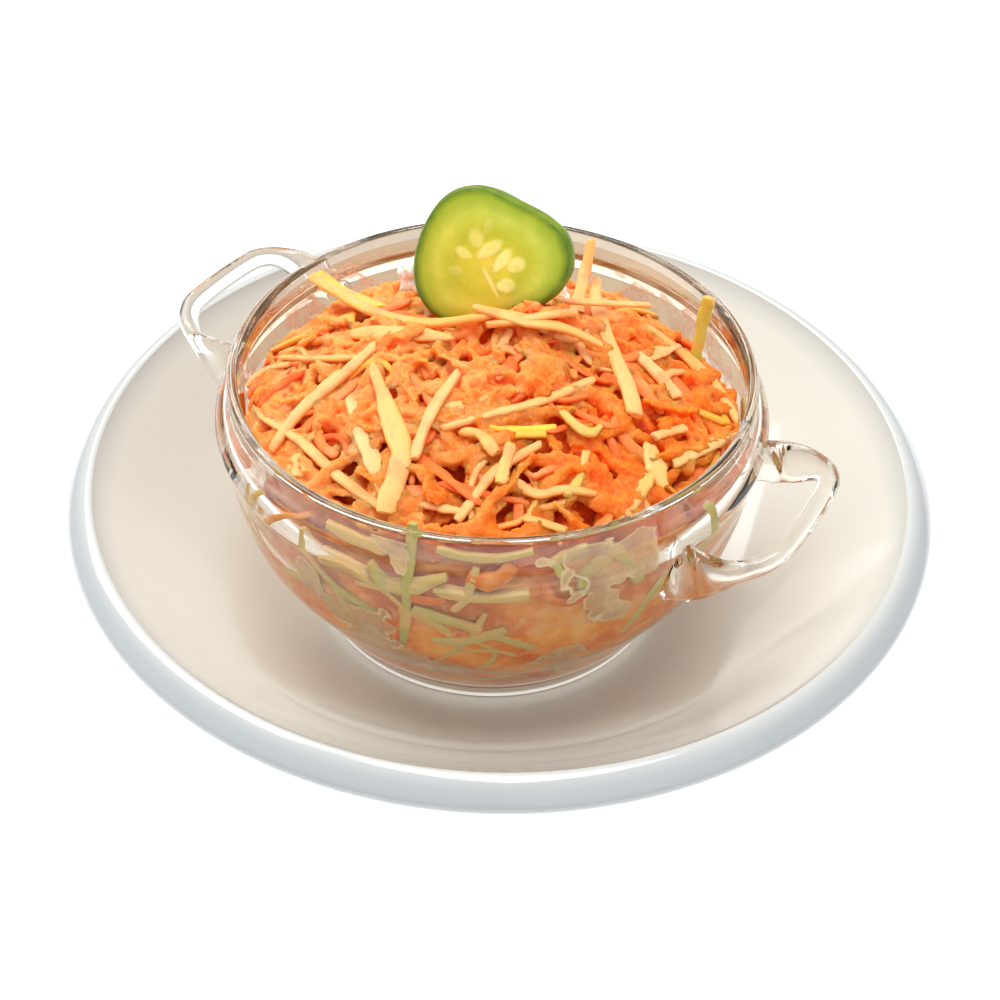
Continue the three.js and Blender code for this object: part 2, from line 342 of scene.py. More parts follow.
def makeSaucer():
    s = saucer
    rise = s["rimHeight"] - s["hollowEdge"] - s["floorHeight"]
    span = s["rimInner"] - s["floorRadius"]
    hollow = []
    for i in range(s["steps"] + 1):
        share = i / s["steps"]
        hollow.append((s["floorRadius"] + span * share, s["floorHeight"] + rise * share ** s["curve"]))
    lowEdge = s["rimHeight"] - s["rimDrop"] - s["edgeRound"]
    underside = []
    for i in range(s["underSteps"] + 1):
        share = i / s["underSteps"]
        radius = s["footOuter"] + (s["radius"] - 1.4 - s["footOuter"]) * share
        height = s["footHeight"] + 1 + (lowEdge - s["footHeight"] - 1) * share ** s["curve"]
        underside.append((radius, height))
    rim = smoothStretch([
        underside[-1], (s["radius"] - 0.5, lowEdge + 0.7), (s["radius"], lowEdge + 2),
        (s["radius"] - 0.7, lowEdge + 3.3), (s["rimInner"] + 3.2, s["rimHeight"] - 0.75),
        (s["rimInner"] + 1.3, s["rimHeight"]), (s["rimInner"] + 0.3, s["rimHeight"] - 0.2), hollow[-1],
    ], 28)
    under = s["floorHeight"] - s["wall"]
    foot = [(s["footInner"] - 1, under), (s["footInner"] - 0.2, under - 0.8), (s["footInner"] + 0.1, 0.6),
            (s["footInner"] + 0.8, 0), (s["footOuter"] - 0.8, 0), (s["footOuter"], 0.6),
            (s["footOuter"], s["footHeight"])]
    floor = [(30, s["floorHeight"]), (8, s["floorHeight"])]
    outline = [(8, under), *foot, *underside, *rim[1:], *hollow[-2::-1], *floor]
    piece = turnOutline("porcelainSaucer", outline, s["sides"], Vector((0, 0, 0)))
    smoothShade(piece, 40)
    finishPiece(piece, porcelainGlaze(), "porcelain", "saucer")


makeSaucer()
print("saucer turned")

# the glass cup
cup = {
    "sides": 160,
    "height": 64.4,
    "wall": 2.3,
    "floor": 4.6,
    "foot": 42,
    "recess": 1.2,
    # footEdge: the height up to which the foot's edge carries the painted highlight
    "footEdge": 4.4,
    "lip": 57.4,
    "bowl": [(42, 3.4), (46.4, 10.4), (50.8, 18.4), (56.2, 28.4), (58.6, 38.4), (59.5, 46.4), (60.5, 51.4)],
    "shoulder": [(60.5, 51.4), (60.9, 52.6), (60.9, 53.8), (60.5, 55), (59.5, 56.2), (58.5, 57), (58.1, 58)],
    "tint": (0.965, 0.95, 0.91),
    "shadow": (0.92, 0.915, 0.905),
    "smear": (0.66, 0.53, 0.35),  # of the greasy film that the dressing leaves inside
    "clearest": 0.94,
    "haziest": 0.80,
    "smearEdge": 2,  # how far the film reaches below the salad's edge
    "smearFloor": 9,  # and up to what height above the base it lies round the floor
    "ior": 1.45,
}


def cupInside():
    # [radius, height] above the cup's base, from its floor to the lip
    c = cup
    lip = c["lip"] - c["wall"]
    bowl = [(radius - c["wall"], height + 0.6) for radius, height in c["bowl"][1:-1]]
    wall = smoothStretch([(36, c["floor"]), (c["foot"] - 3, c["floor"] + 1.1), *bowl, (57.8, 51.6)], 34)
    shoulder = smoothStretch(
        [(57.8, 51.6), (57.7, 53), (57.1, 54.6), (56, 56.2), (lip + 0.3, 57.6), (lip, 59)], 10,
    )
    return [(8, c["floor"]), *wall, *shoulder[1:], (lip, 61.5)]


def cupOutline():
    c = cup
    base = [(8, c["recess"]), (c["foot"] - 5, c["recess"]), *arc((c["foot"] - 3.2, 0.9), 0.9, -150, -90, 3),
            *arc((c["foot"] - 1.4, 1.4), 1.4, -90, -8, 6)]
    outside = smoothStretch(c["bowl"], 40) + smoothStretch(c["shoulder"], 14)[1:]
    thick = c["wall"] / 2
    lip = arc((c["lip"] - thick, c["height"] - thick), thick, 0, 180, 12)
    return [*base, *outside, (c["lip"] + 0.3, 60.4), *lip, *cupInside()[::-1]]


insideOutline = cupInside()


def wallRadius(height):
    # of the inside, at a height above the cup's base, all in mm
    if height >= insideOutline[-1][1]:
        return insideOutline[-1][0]
    for (low, below), (high, above) in zip(insideOutline, insideOutline[1:]):
        if above > height:
            return low + (high - low) * (max(height, below) - below) / max(above - below, 0.001)
    return insideOutline[-1][0]


handle = {
    "reach": {"handleRight": 75.1, "handleLeft": 77.5},
    "halfSpan": 20.2,
    "squareness": 4,
    "root": 52.6,
    "rootHeight": -18.9,
    "bowHeight": -8.8,
    "stations": 64,
    "bow": {"width": 5, "thickness": 4, "tilt": 60},
    "arm": {"width": 13, "thickness": 3.2, "tilt": 105},
    "bowDepth": 1.7,
    "armLength": 16,
    "flare": 1.8,  # how much thicker the strap grows where it meets the wall
    "flareAt": 58,
    "flareSpan": 2.2,
    "sunk": 0.9,  # of the ends, in the wall
    "samples": 400,  # along the path, to space the stations evenly
    "aside": 0.012,  # share of the path over which its direction is taken
}


def handlePath(reach):
    h = handle
    points = []
    for i in range(13):
        angle = math.pi * i / 12
        along = abs(math.sin(angle)) ** (2 / h["squareness"])
        across = math.copysign(abs(math.cos(angle)) ** (2 / h["squareness"]), math.cos(angle))
        points.append(Vector((
            h["root"] + (reach - h["root"]) * along,
            h["halfSpan"] * across,
            h["rootHeight"] + (h["bowHeight"] - h["rootHeight"]) * along,
        )))
    return points


def bendAlong(piece, place):
    # a straight bar along Z, from 0 to 1, is laid along a path
    stations = {}
    for vertex in piece.data.vertices:
        key = round(vertex.co.z, 5)
        if key not in stations:
            stations[key] = place(key)
        middle, side, normal = stations[key]
        vertex.co = middle + side * vertex.co.x + normal * vertex.co.y


def makeHandle(name):
    h = handle
    reach = h["reach"][name]
    path = handlePath(reach)
    count = h["samples"]
    samples = [curvePoint(path, i / count) for i in range(count + 1)]
    reached = [0]
    for first, second in zip(samples, samples[1:]):
        reached.append(reached[-1] + (second - first).length)

    def evenly(t):
        # the curve at an even share of its length
        wanted = min(max(t, 0), 1) * reached[-1]
        i = next((i for i, length in enumerate(reached) if length >= wanted), count)
        i = max(i, 1)
        f = (wanted - reached[i - 1]) / max(reached[i] - reached[i - 1], 1e-6)
        return samples[i - 1].lerp(samples[i], f)

    def place(t):
        middle = evenly(t)
        tangent = (evenly(t + h["aside"]) - evenly(t - h["aside"])).normalized()
        toArm = min(max((reach - h["bowDepth"] - middle.x) / h["armLength"], 0), 1)
        toArm = toArm * toArm * (3 - 2 * toArm)
        bow, arm = h["bow"], h["arm"]
        width, thickness, tilt = (bow[k] + (arm[k] - bow[k]) * toArm for k in ("width", "thickness", "tilt"))
        toWall = math.exp(-((middle.x - h["flareAt"]) / h["flareSpan"]) ** 2)
        thickness *= 1 + (h["flare"] - 1) * toWall
        outward = tangent.cross(Vector((0, 0, 1))).normalized() * -1
        up = tangent.cross(outward).normalized() * -1
        lean = -math.radians(tilt)
        side = outward * math.cos(lean) + up * math.sin(lean)
        normal = side.cross(tangent)
        return toCup(*middle), side * width / 2 * mm, normal * thickness / 2 * mm

    deselect()
    bpy.ops.mesh.primitive_cylinder_add(vertices=20, radius=1, depth=1, location=(0, 0, 0.5))
    bar = bpy.context.object
    bar.name = name
    bpy.ops.object.transform_apply(location=True)
    bpy.ops.object.mode_set(mode="EDIT")
    selectEdges(bar, lambda a, b: abs(a.z - b.z) > 0.5)
    bpy.ops.mesh.subdivide(number_cuts=h["stations"] - 1)
    bpy.ops.object.mode_set(mode="OBJECT")
    bendAlong(bar, place)
    # the ends are drawn out of the cup's hollow, into its wall
    for vertex in bar.data.vertices:
        local = fromCup(vertex.co)
        if local.x < h["flareAt"]:
            wall = wallRadius(local.z + cup["height"]) + h["sunk"]
            end = math.sqrt(wall ** 2 - local.y ** 2)
            share = (h["flareAt"] - local.x) / (h["flareAt"] - h["root"])
            local.x = h["flareAt"] - min(share, 1) * (h["flareAt"] - end)
            vertex.co = toCup(*local)
    return bar


def glassLook(name, tint, smeared):
    material, tree, shader = newMaterial(name)
    shader.inputs["Base Color"].default_value = (*tint, 1)
    shader.inputs["Roughness"].default_value = 0
    shader.inputs["IOR"].default_value = cup["ior"]
    shader.inputs["Transmission Weight"].default_value = 1
    spot = objectPlace(tree)
    addBump(tree, shader, addNoise(tree, spot, 60, 1), 0.06, 0.0004)
    if smeared:
        cloud = addNoise(tree, spot, 70, 5, 0.65)
        film = addRamp(tree, cloud, (0.40, grey(cup["clearest"])), (0.66, grey(cup["haziest"])))
        tree.links.new(film, shader.inputs["Transmission Weight"])
    # lamps and the light that food and porcelain scatter pass straight through
    path = addNode(tree, "ShaderNodeLightPath")
    either = addMath(tree, "MAXIMUM", path.outputs["Is Shadow Ray"], path.outputs["Is Diffuse Ray"])
    passing = addNode(tree, "ShaderNodeBsdfTransparent", Color=(*cup["shadow"], 1))
    mix = addNode(tree, "ShaderNodeMixShader")
    tree.links.new(either, mix.inputs[0])
    tree.links.new(shader.outputs[0], mix.inputs[1])
    tree.links.new(passing.outputs[0], mix.inputs[2])
    tree.links.new(mix.outputs[0], tree.nodes["Material Output"].inputs["Surface"])
    return material


def paintedFootHighlight():
    # painted highlight: the foot's edge is painted white and made to glow, most of all right at the bottom,
    # for the light that would gather in the glass, and it is beige-grey above that, a painted shade
    material, tree, shader = newMaterial("paintedFootHighlight")
    height = addHeight(tree, objectPlace(tree))
    share = addRange(tree, height, cupMiddle.z, cupMiddle.z + cup["footEdge"] * mm)
    body = addRamp(tree, share, (0.38, (0.94, 0.93, 0.91)), (0.52, (0.66, 0.57, 0.45)))
    paintedGlow = addRamp(tree, share, (0.38, (0.5, 0.49, 0.47)), (0.52, (0.10, 0.08, 0.06)))
    tree.links.new(body, shader.inputs["Base Color"])
    tree.links.new(paintedGlow, shader.inputs["Emission Color"])
    shader.inputs["Roughness"].default_value = 0.15
    shader.inputs["Transmission Weight"].default_value = 0.4
    shader.inputs["Emission Strength"].default_value = 1
    return material


def makeCup():
    body = turnOutline("glassCup", cupOutline(), cup["sides"], cupMiddle)
    handles = []
    for name, turn in (("handleRight", 0), ("handleLeft", math.pi)):
        bar = makeHandle(name)
        about = Matrix.Translation(cupMiddle) @ Matrix.Rotation(turn, 4, "Z") @ Matrix.Translation(-cupMiddle)
        bar.data.transform(about)
        faceOutwards(bar)
        handles.append(bar)
    for bar in handles:
        join = body.modifiers.new(bar.name, "BOOLEAN")
        join.operation = "UNION"
        join.solver = "EXACT"
        join.object = bar
    applyAll(body)
    for bar in handles:
        bpy.data.objects.remove(bar)
    smoothShade(body, 32)
    finishPiece(body, glassLook("clearGlass", cup["tint"], False), "clear_glass", "cup")
    body.data.materials.append(glassLook("smearedGlass", cup["smear"], True))
    body.data.materials.append(paintedFootHighlight())
    smeared, bright = 1, 2  # the places of the two looks in the list
    for face in body.data.polygons:
        local = fromCup(face.center)
        height = local.z + cup["height"]
        away = math.hypot(local.x, local.y)
        inside = abs(away - wallRadius(height)) < 0.35
        belowLip = height < insideOutline[-1][1] + 0.2
        overSalad = local.z > heapHeight(local.x, local.y) - cup["smearEdge"] and belowLip
        if inside and (overSalad or height < cup["smearFloor"]):
            face.material_index = smeared
        # the foot's edge gets the painted highlight and glow
        elif away > cup["foot"] - 1 and 0.15 < height < cup["footEdge"]:
            face.material_index = bright


# the heap's form
heap = {
    "front": -58.7,
    "crown": 6,
    "frontEdge": -5,
    "backEdge": -20,
    "power": 2.2,
    "lumps": 34,
    "lumpHeight": 2.6,
    "lumpRadius": (6, 10),
    "seed": 11,
}


def heapLumps():
    state = heap["seed"]

    def draw():
        nonlocal state
        state = (state * 1664525 + 1013904223) % 4294967296
        return state / 4294967296

    lumps = []
    for _ in range(heap["lumps"]):
        angle = 2 * math.pi * draw()
        away = cup["lip"] * math.sqrt(draw())
        low, high = heap["lumpRadius"]
        radius = low + (high - low) * draw()
        height = heap["lumpHeight"] * (2 * draw() - 1)
        lumps.append((away * math.cos(angle), away * math.sin(angle), radius, height))
    return lumps


lumps = heapLumps()


def heapHeight(x, y):
    # of the heap above the rim, at mm from the cup's axis
    facing = math.cos(math.atan2(y, x) - math.radians(heap["front"]))
    edge = (heap["frontEdge"] + heap["backEdge"]) / 2 + facing * (heap["frontEdge"] - heap["backEdge"]) / 2
    fall = min(math.hypot(x, y) / (cup["lip"] - cup["wall"]), 1) ** heap["power"]
    height = heap["crown"] + (edge - heap["crown"]) * fall
    for lumpX, lumpY, radius, rise in lumps:
        away = ((x - lumpX) ** 2 + (y - lumpY) ** 2) / radius ** 2
        height += rise * math.exp(-away)
    return height


# the shoulder stands out over the salad: mm of room, and the heights from the rim where it opens and closes
shoulderRoom = {
    "widest": 3.3, "from": -26, "open": -15, "closing": -9, "to": -2, "left": 0.9,
    "uneven": 0.7, "unevenness": 170,
    "lean": 1.2,  # how far a shred may lean out over the rim
    "leanFrom": 1.5,
}


def roomAt(height, spot):
    r = shoulderRoom
    opening = min(max((height - r["from"]) / (r["open"] - r["from"]), 0), 1)
    closing = min(max((height - r["closing"]) / (r["to"] - r["closing"]), 0), 1)
    room = r["widest"] * opening ** 2 * (3 - 2 * opening)
    room += (r["left"] - r["widest"]) * closing ** 2 * (3 - 2 * closing)
    return max(0, room * (1 + r["uneven"] * noise.noise(spot * r["unevenness"])))


def heldByWall(spot, into):
    # moved inwards, if need be, to lie no further than a depth in mm into the glass
    local = fromCup(spot)
    height = max(local.z + cup["height"], cup["floor"] - into)
    limit = wallRadius(height) + into - roomAt(local.z, spot)
    away = math.hypot(local.x, local.y)
    if local.z > shoulderRoom["leanFrom"]:
        limit += shoulderRoom["lean"]
    if away > limit:
        local.x *= limit / away
        local.y *= limit / away
    return toCup(local.x, local.y, height - cup["height"])


makeCup()
print("cup blown, handles joined")

# the cucumber slice
cucumber = {
    "middle": fromFront(-0.6, 12.5, 15.6),
    "lean": 26,
    "turn": 17,
    "radius": 15.9,
    "lobes": [(1, 1.6, 137), (2, 1.6, 18), (3, 1.0, 5), (4, 0.4, 27)],
    "thickness": 4.4,
    "bevel": 0.6,
    "sides": 180,
    "rings": 44,
    # [right, up, length, width, turn, strength] of each seed and slit in the cut face, in mm and degrees
    "seeds": [
        (-4.0, 5.0, 4.4, 3.4, 30, 0.5), (-0.8, 3.2, 6.4, 2.9, -50, 0.9), (-6.4, 1.4, 4.0, 2.3, 75, 0.7),
        (2.4, 1.4, 6.2, 2.7, -30, 1.0), (5.6, 1.0, 4.4, 3.4, -50, 0.8), (3.9, -3.8, 4.4, 3.2, -72, 0.95),
        (-7.6, -2.6, 3.4, 2.0, 100, 0.3), (0.6, -3.8, 7.4, 0.9, 38, 0.9), (-1.8, 7.8, 4.2, 2.2, -15, 0.25),
    ],
    "seedRelief": 0.22,
    "dish": 0.35,  # how far the cut faces sink in the middle
    "unevenness": 0.1,
    "skinDepth": 0.55,
    "skinBulge": 0.012,
    "skinRidges": 0.006,
}
stand = Euler((math.radians(90 - cucumber["lean"]), 0, frontTurn - math.radians(cucumber["turn"])))
sliceMatrix = Matrix.Translation(cucumber["middle"]) @ stand.to_matrix().to_4x4()
sliceInverse = sliceMatrix.inverted()


def sliceRadius(angle):
    radius = cucumber["radius"]
    for times, height, place in cucumber["lobes"]:
        radius += height * math.cos(times * (angle - math.radians(place)))
    return radius


def nearSlice(spot, margin):
    local = (sliceInverse @ spot) / mm
    reach = sliceRadius(math.atan2(local.y, local.x)) + margin
    return abs(local.z) < cucumber["thickness"] / 2 + margin and math.hypot(local.x, local.y) < reach


def cucumberFlesh():
    material, tree, shader = newMaterial("cucumberFlesh")
    flat = addNode(tree, "ShaderNodeUVMap", uv_map="slice").outputs["UV"]
    spot = objectPlace(tree)
    # distance from the middle, 1 at the skin
    wobble = addMath(tree, "MULTIPLY", addNoise(tree, flat, 5, 3), 0.06)
    rings = addRamp(
        tree, addMath(tree, "ADD", addLength(tree, flat), wobble),
        (0.05, (0.90, 0.72, 0.10)), (0.30, (0.82, 0.70, 0.06)), (0.48, (0.70, 0.63, 0.04)),
        (0.72, (0.74, 0.71, 0.10)), (0.90, (0.48, 0.53, 0.03)), (0.96, (0.26, 0.33, 0.012)),
        (1.0, (0.09, 0.16, 0.006)),
    )
    patches = addRamp(tree, addNoise(tree, spot, 190, 5, 0.65), (0.35, (0.84, 0.9, 0.7)), (0.65, (1, 1, 1)))
    mottled = addMix(tree, 1.0, rings, patches, "MULTIPLY")
    # greener to the upper right and warmer to the lower left
    slope = addRange(tree, addAlong(tree, flat, (0.55, 0.83, 0)), -0.8, 0.8)
    warmth = addRamp(tree, slope, (0.15, (1, 0.93, 0.8)), (0.45, (0.97, 0.96, 0.9)), (0.85, (0.88, 0.97, 1)))
    shaded = addMix(tree, 1.0, mottled, warmth, "MULTIPLY")
    seed = readAttribute(tree, "seed")
    uneven = addRamp(tree, addNoise(tree, spot, 330, 3), (0.3, grey(0.45)), (0.6, grey(1)))
    seedShare = addMix(tree, 1.0, addRamp(tree, seed, (0.0, grey(0)), (1.0, grey(0.85))), uneven, "MULTIPLY")
    tree.links.new(addMix(tree, seedShare, shaded, (0.93, 0.83, 0.36)), shader.inputs["Base Color"])
    addBump(tree, shader, addNoise(tree, spot, 600, 4), 0.4, 0.0003)
    shader.inputs["Roughness"].default_value = 0.28
    setGlow(shader, 1.0, (1.2, 1.2, 0.4), 0.0038)
    return material


def cucumberSkin():
    material, tree, shader = newMaterial("cucumberSkin")
    spot = objectPlace(tree)
    cloud = addNoise(tree, spot, 260, 4)
    colour = addRamp(tree, cloud, (0.3, (0.09, 0.16, 0.006)), (0.75, (0.22, 0.30, 0.02)))
    tree.links.new(colour, shader.inputs["Base Color"])
    addBump(tree, shader, addNoise(tree, spot, 500, 2), 0.3, 0.0003)
    shader.inputs["Roughness"].default_value = 0.45
    shader.inputs["Specular IOR Level"].default_value = 0.2
    return material


def seedAt(right, up):
    # how much of a seed lies at mm from the middle of the cut face
    share = 0
    for x, y, length, width, turn, strength in cucumber["seeds"]:
        spot = Vector((right - x, up - y))
        spot.rotate(Matrix.Rotation(-math.radians(turn), 2))
        narrow = width * (1 - 0.3 * max(0, -spot.y * 2 / length))  # pointed towards the middle
        away = math.hypot(spot.x * 2 / narrow, spot.y * 2 / length)
        share = max(share, strength * min(max((1.15 - away) / 0.4, 0), 1))
    return share


def makeSlice():
    s = cucumber
    half = s["thickness"] / 2
    deselect()
    bpy.ops.mesh.primitive_circle_add(vertices=s["sides"], radius=1, fill_type="NGON")
    disc = bpy.context.object
    disc.name = "cucumberSlice"
    bpy.ops.object.mode_set(mode="EDIT")
    bpy.ops.mesh.select_all(action="SELECT")
    for _ in range(s["rings"]):
        bpy.ops.mesh.inset(thickness=0.96 / s["rings"])
    bpy.ops.object.mode_set(mode="OBJECT")
    flat = disc.data.uv_layers.new(name="slice")
    for loop in disc.data.loops:
        co = disc.data.vertices[loop.vertex_index].co
        flat.data[loop.index].uv = (co.x, co.y)
    other = disc.copy()
    other.data = disc.data.copy()
    bpy.context.collection.objects.link(other)
    # the two faces, each with its rim's edge rounded off, bridged by the skin
    for face, side in ((disc, 1), (other, -1)):
        seeds = face.data.attributes.new("seed", "FLOAT", "POINT").data
        for vertex in face.data.vertices:
            share = min(vertex.co.length, 1)
            angle = math.atan2(vertex.co.y, vertex.co.x)
            radius = sliceRadius(angle)
            place = Vector((math.cos(angle), math.sin(angle), 0)) * share * radius
            rounding = s["bevel"] * 1.6
            near = max(0, (share * radius - (radius - rounding)) / rounding)
            dish = s["dish"] * math.exp(-(share / 0.5) ** 2) + s["unevenness"] * noise.noise(place * 0.35)
            seeds[vertex.index].value = seedAt(place.x, place.y)
            relief = s["seedRelief"] * seeds[vertex.index].value
            place.z = side * (half - s["bevel"] * near ** 2 - dish + relief)
            vertex.co = place * mm
        if side < 0:
            face.data.flip_normals()
    joined = joinAll("cucumberSlice", [disc, other])
    bpy.ops.object.mode_set(mode="EDIT")
    bpy.ops.mesh.select_mode(type="EDGE")
    bpy.ops.mesh.select_all(action="DESELECT")
    bpy.ops.mesh.select_non_manifold()
    bpy.ops.mesh.bridge_edge_loops(number_cuts=4)
    bpy.ops.mesh.select_all(action="SELECT")
    bpy.ops.mesh.normals_make_consistent(inside=False)
    bpy.ops.object.mode_set(mode="OBJECT")
    joined.data.materials.clear()
    joined.data.materials.append(cucumberFlesh())
    joined.data.materials.append(cucumberSkin())
    for face in joined.data.polygons:
        angle = math.atan2(face.center.y, face.center.x)
        away = math.hypot(face.center.x, face.center.y) / mm
        face.material_index = int(away > sliceRadius(angle) - s["skinDepth"])
    for vertex in joined.data.vertices:
        away = math.hypot(vertex.co.x, vertex.co.y) / mm
        angle = math.atan2(vertex.co.y, vertex.co.x)
        if abs(vertex.co.z) / mm < half - 0.7 and away > 3:  # the skin bulges a little, with ridges
            ridges = noise.noise(Vector((angle * 6, vertex.co.z * 300, 0)))
            swell = 1 + s["skinBulge"] + s["skinRidges"] * ridges
            vertex.co.x *= swell
            vertex.co.y *= swell
    joined.data.transform(sliceMatrix)
    smoothShade(joined, 50)
    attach(joined, "root")
    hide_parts("cucumber_slice")


makeSlice()
print("cucumber sliced")


# shreds
def stripTemplate(name, cuts, bevel, segments):
    # a bar along Y from -0.5 to 0.5 with its long edges taken off, and a map along and across it
    deselect()
    bpy.ops.mesh.primitive_cube_add(size=1)
    strip = bpy.context.object
    strip.name = name
    bpy.ops.object.mode_set(mode="EDIT")
    selectEdges(strip, lambda a, b: abs(a.y - b.y) > 0.5)
    bpy.ops.mesh.bevel(offset=bevel, segments=segments, affect="EDGES")
    selectEdges(strip, lambda a, b: abs(a.y - b.y) > 0.5)
    bpy.ops.mesh.subdivide(number_cuts=cuts)
    bpy.ops.object.mode_set(mode="OBJECT")
    strip["stations"] = cuts + 1
    for layer in list(strip.data.uv_layers):
        strip.data.uv_layers.remove(layer)
    along = strip.data.uv_layers.new(name="strip")
    for loop in strip.data.loops:
        co = strip.data.vertices[loop.vertex_index].co
        along.data[loop.index].uv = (co.x + co.z * 0.3, co.y)
    strip.data.attributes.new("tint", "FLOAT", "POINT")
    return strip


def widthAt(width, t):
    # an even width, or widths spread evenly from end to end
    if not isinstance(width, tuple):
        return width
    place = min(max(t, 0), 0.9999) * (len(width) - 1)
    i = int(place)
    return width[i] + (width[i + 1] - width[i]) * (place - i)


def copyStrip(template):
    strip = template.copy()
    strip.data = template.data.copy()
    bpy.context.collection.objects.link(strip)
    return strip


def tintStrip(strip, tint, offset, length):
    # each strip has its own tint, and its own stretch of the fibres' pattern
    for loop in strip.data.uv_layers["strip"].data:
        loop.uv.y = loop.uv.y * 0.1 * length + offset
    strip.data.attributes["tint"].data.foreach_set("value", [tint] * len(strip.data.vertices))
    return strip


cut = {
    "roll": 35,  # degrees either way, where none is given
    "twist": 35,  # from one end to the other
    "askew": 0.25,  # of the ends
    "blunt": 0.22,  # how much the very ends narrow
    "ragged": 0.9,  # how much more uneven one edge is
    "aside": 0.04,  # share of the length over which the direction is taken
}


def layStrip(template, points, width, thickness, draw, wave, taper, roll=None, into=0.15, tint=None):
    # a copy of the template along points, in metres, with an uneven edge
    strip = copyStrip(template)
    if roll is None:
        roll = draw.uniform(-cut["roll"], cut["roll"])
    twist = draw.uniform(-cut["twist"], cut["twist"])
    offset = draw.uniform(0, 100)
    value = draw.random() if tint is None else tint
    ends = (draw.uniform(-cut["askew"], cut["askew"]), draw.uniform(-cut["askew"], cut["askew"]))
    stations = {}
    for vertex in strip.data.vertices:
        t = vertex.co.y + 0.5
        key = round(t, 4)
        if key not in stations:
            middle = curvePoint(points, t)
            ahead, behind = curvePoint(points, t + cut["aside"]), curvePoint(points, t - cut["aside"])
            tangent = (ahead - behind).normalized()
            side = tangent.cross(Vector((0, 0, 1)))
            if side.length < 0.05:
                side = tangent.cross(Vector((0, 1, 0)))
            side.normalize()
            side.rotate(Quaternion(tangent, math.radians(roll + twist * (t - 0.5))))
            normal = side.cross(tangent)
            broad = widthAt(width, t)
            atEnd = max(0, 1 - min(t, 1 - t) * template["stations"])
            narrow = taper * abs(2 * t - 1) ** 3 + cut["blunt"] * atEnd ** 2
            girth = (1 - narrow) * (1 + wave * 2 * noise.noise(Vector((t * 4, offset, 0))))
            girth *= 1 + wave * noise.noise(Vector((t * 13, offset, 2)))
            thick = 1 - narrow * 0.6 + wave * noise.noise(Vector((t * 5, offset, 9)))
            shift = wave * broad * 0.6 * noise.noise(Vector((t * 3, offset, 4)))
            across, over = side * girth * broad * mm, normal * thick * thickness * mm
            stations[key] = (middle + side * shift * mm, tangent, across, over)
        middle, tangent, across, over = stations[key]
        # one edge is more ragged than the other
        ragged = 1 + wave * cut["ragged"] * noise.noise(Vector((t * 17, offset, 6))) * (vertex.co.x > 0)
        spot = middle + across * vertex.co.x * ragged + over * vertex.co.z
        if key in (0.0, 1.0):  # cut askew
            spot += tangent * vertex.co.x * ends[int(key)] * widthAt(width, t) * 2 * mm
        vertex.co = heldByWall(spot, into)
    return tintStrip(strip, value, offset, (points[-1] - points[0]).length / mm)


fineStrip = stripTemplate("fineStrip", 27, 0.4, 3)
plainStrip = stripTemplate("plainStrip", 7, 0.26, 1)

# clumps and hollows of the heap: [right, back, radius, height] in mm, seen from the front
relief = [
    (-30, -35, 5, -7), (-9, -39, 4.8, -8), (-14, -48, 3.4, -4.5), (10, -37, 4.4, -6.5), (5, -46, 4, -5),
    (21, -43, 4, -4.5), (31, -7, 4.5, -6), (-35, -12, 4, -5), (42, -3, 5, -5), (-38, 2, 5, -4),
    (20, -24, 4, -4), (38, -33, 4.5, -4), (-14, -9, 4.5, -3.5), (-44, -12, 4.5, -4), (-30, 9, 4, -4),
    (-30, 30, 5, -4), (30, 30, 5, -4), (7.5, 5, 8.5, 10.5), (-0.5, 3.5, 5, 5), (15.5, 4, 5, 4.5),
    (29, 13, 7, 2.6), (16, -17, 8, 1.8), (-20, -12, 9, 1.4), (-36, 10, 8, 1.8), (-5, -22, 7, 1.6),
    (41, -14, 6, 1.6), (-1, -36, 4, 2), (15, -45, 4, 2), (-21, -38, 4.5, 1.6),
]


def reliefAt(x, y):
    # how much the heap stands up, or is sunk, at mm from the cup's axis
    spot = Vector((x, y))
    spot.rotate(Matrix.Rotation(-frontTurn, 2))
    return sum(
        height * math.exp(-((spot.x - right) ** 2 + (spot.y - back) ** 2) / radius ** 2 * 1.6)
        for right, back, radius, height in relief
    )


def onHeap(x, y, lift):
    return toCup(x, y, heapHeight(x, y) + lift)


scatter = {
    "edge": 54.5,  # no strip's curve goes further from the cup's axis
    "follow": 0.8,  # how far the strips rise with the clumps
    "hollow": -3,  # relief under which a place counts as a hollow
    "sliceGap": 0.3,
}


def scatterStrips(template, shape):
    # strips laid all over the heap, each on a curve of four points
    draw = random.Random(shape["seed"])
    strips = []
    for _ in range(shape["tries"]):
        if len(strips) == shape["count"]:
            break
        angle = draw.uniform(0, 2 * math.pi)
        away = shape["outer"] * math.sqrt(draw.random())
        x, y = away * math.cos(angle), away * math.sin(angle)
        heading = draw.uniform(0, math.pi)
        length = draw.uniform(*shape["length"])
        bend = draw.uniform(-shape["bend"], shape["bend"])
        lift = draw.uniform(*shape["lift"])
        tilt = draw.uniform(-shape["tilt"], shape["tilt"])
        points = []
        for i in range(4):
            along = i / 3 - 0.5
            turn = heading + bend * along
            px = x + math.cos(turn) * along * length
            py = y + math.sin(turn) * along * length
            limit = scatter["edge"] / max(math.hypot(px, py), scatter["edge"])
            px, py = px * limit, py * limit
            rise = lift + tilt * along * length + shape["arch"] * (0.25 - along * along) * 4
            points.append(onHeap(px, py, rise + scatter["follow"] * max(reliefAt(px, py), 0)))
        width, thickness = draw.uniform(*shape["width"]), draw.uniform(*shape["thickness"])
        if any(nearSlice(curvePoint(points, t / 6), width / 2 + scatter["sliceGap"]) for t in range(7)):
            continue
        # none lies over a hollow, unless it is sunk in it
        over = [fromCup(point) for point in points[1:3]]
        if lift > scatter["hollow"] and any(reliefAt(spot.x, spot.y) < scatter["hollow"] for spot in over):
            continue
        wave, taper, into = shape["wave"], shape["taper"], shape["into"]
        strips.append(layStrip(template, points, width, thickness, draw, wave, taper, into=into))
    return strips


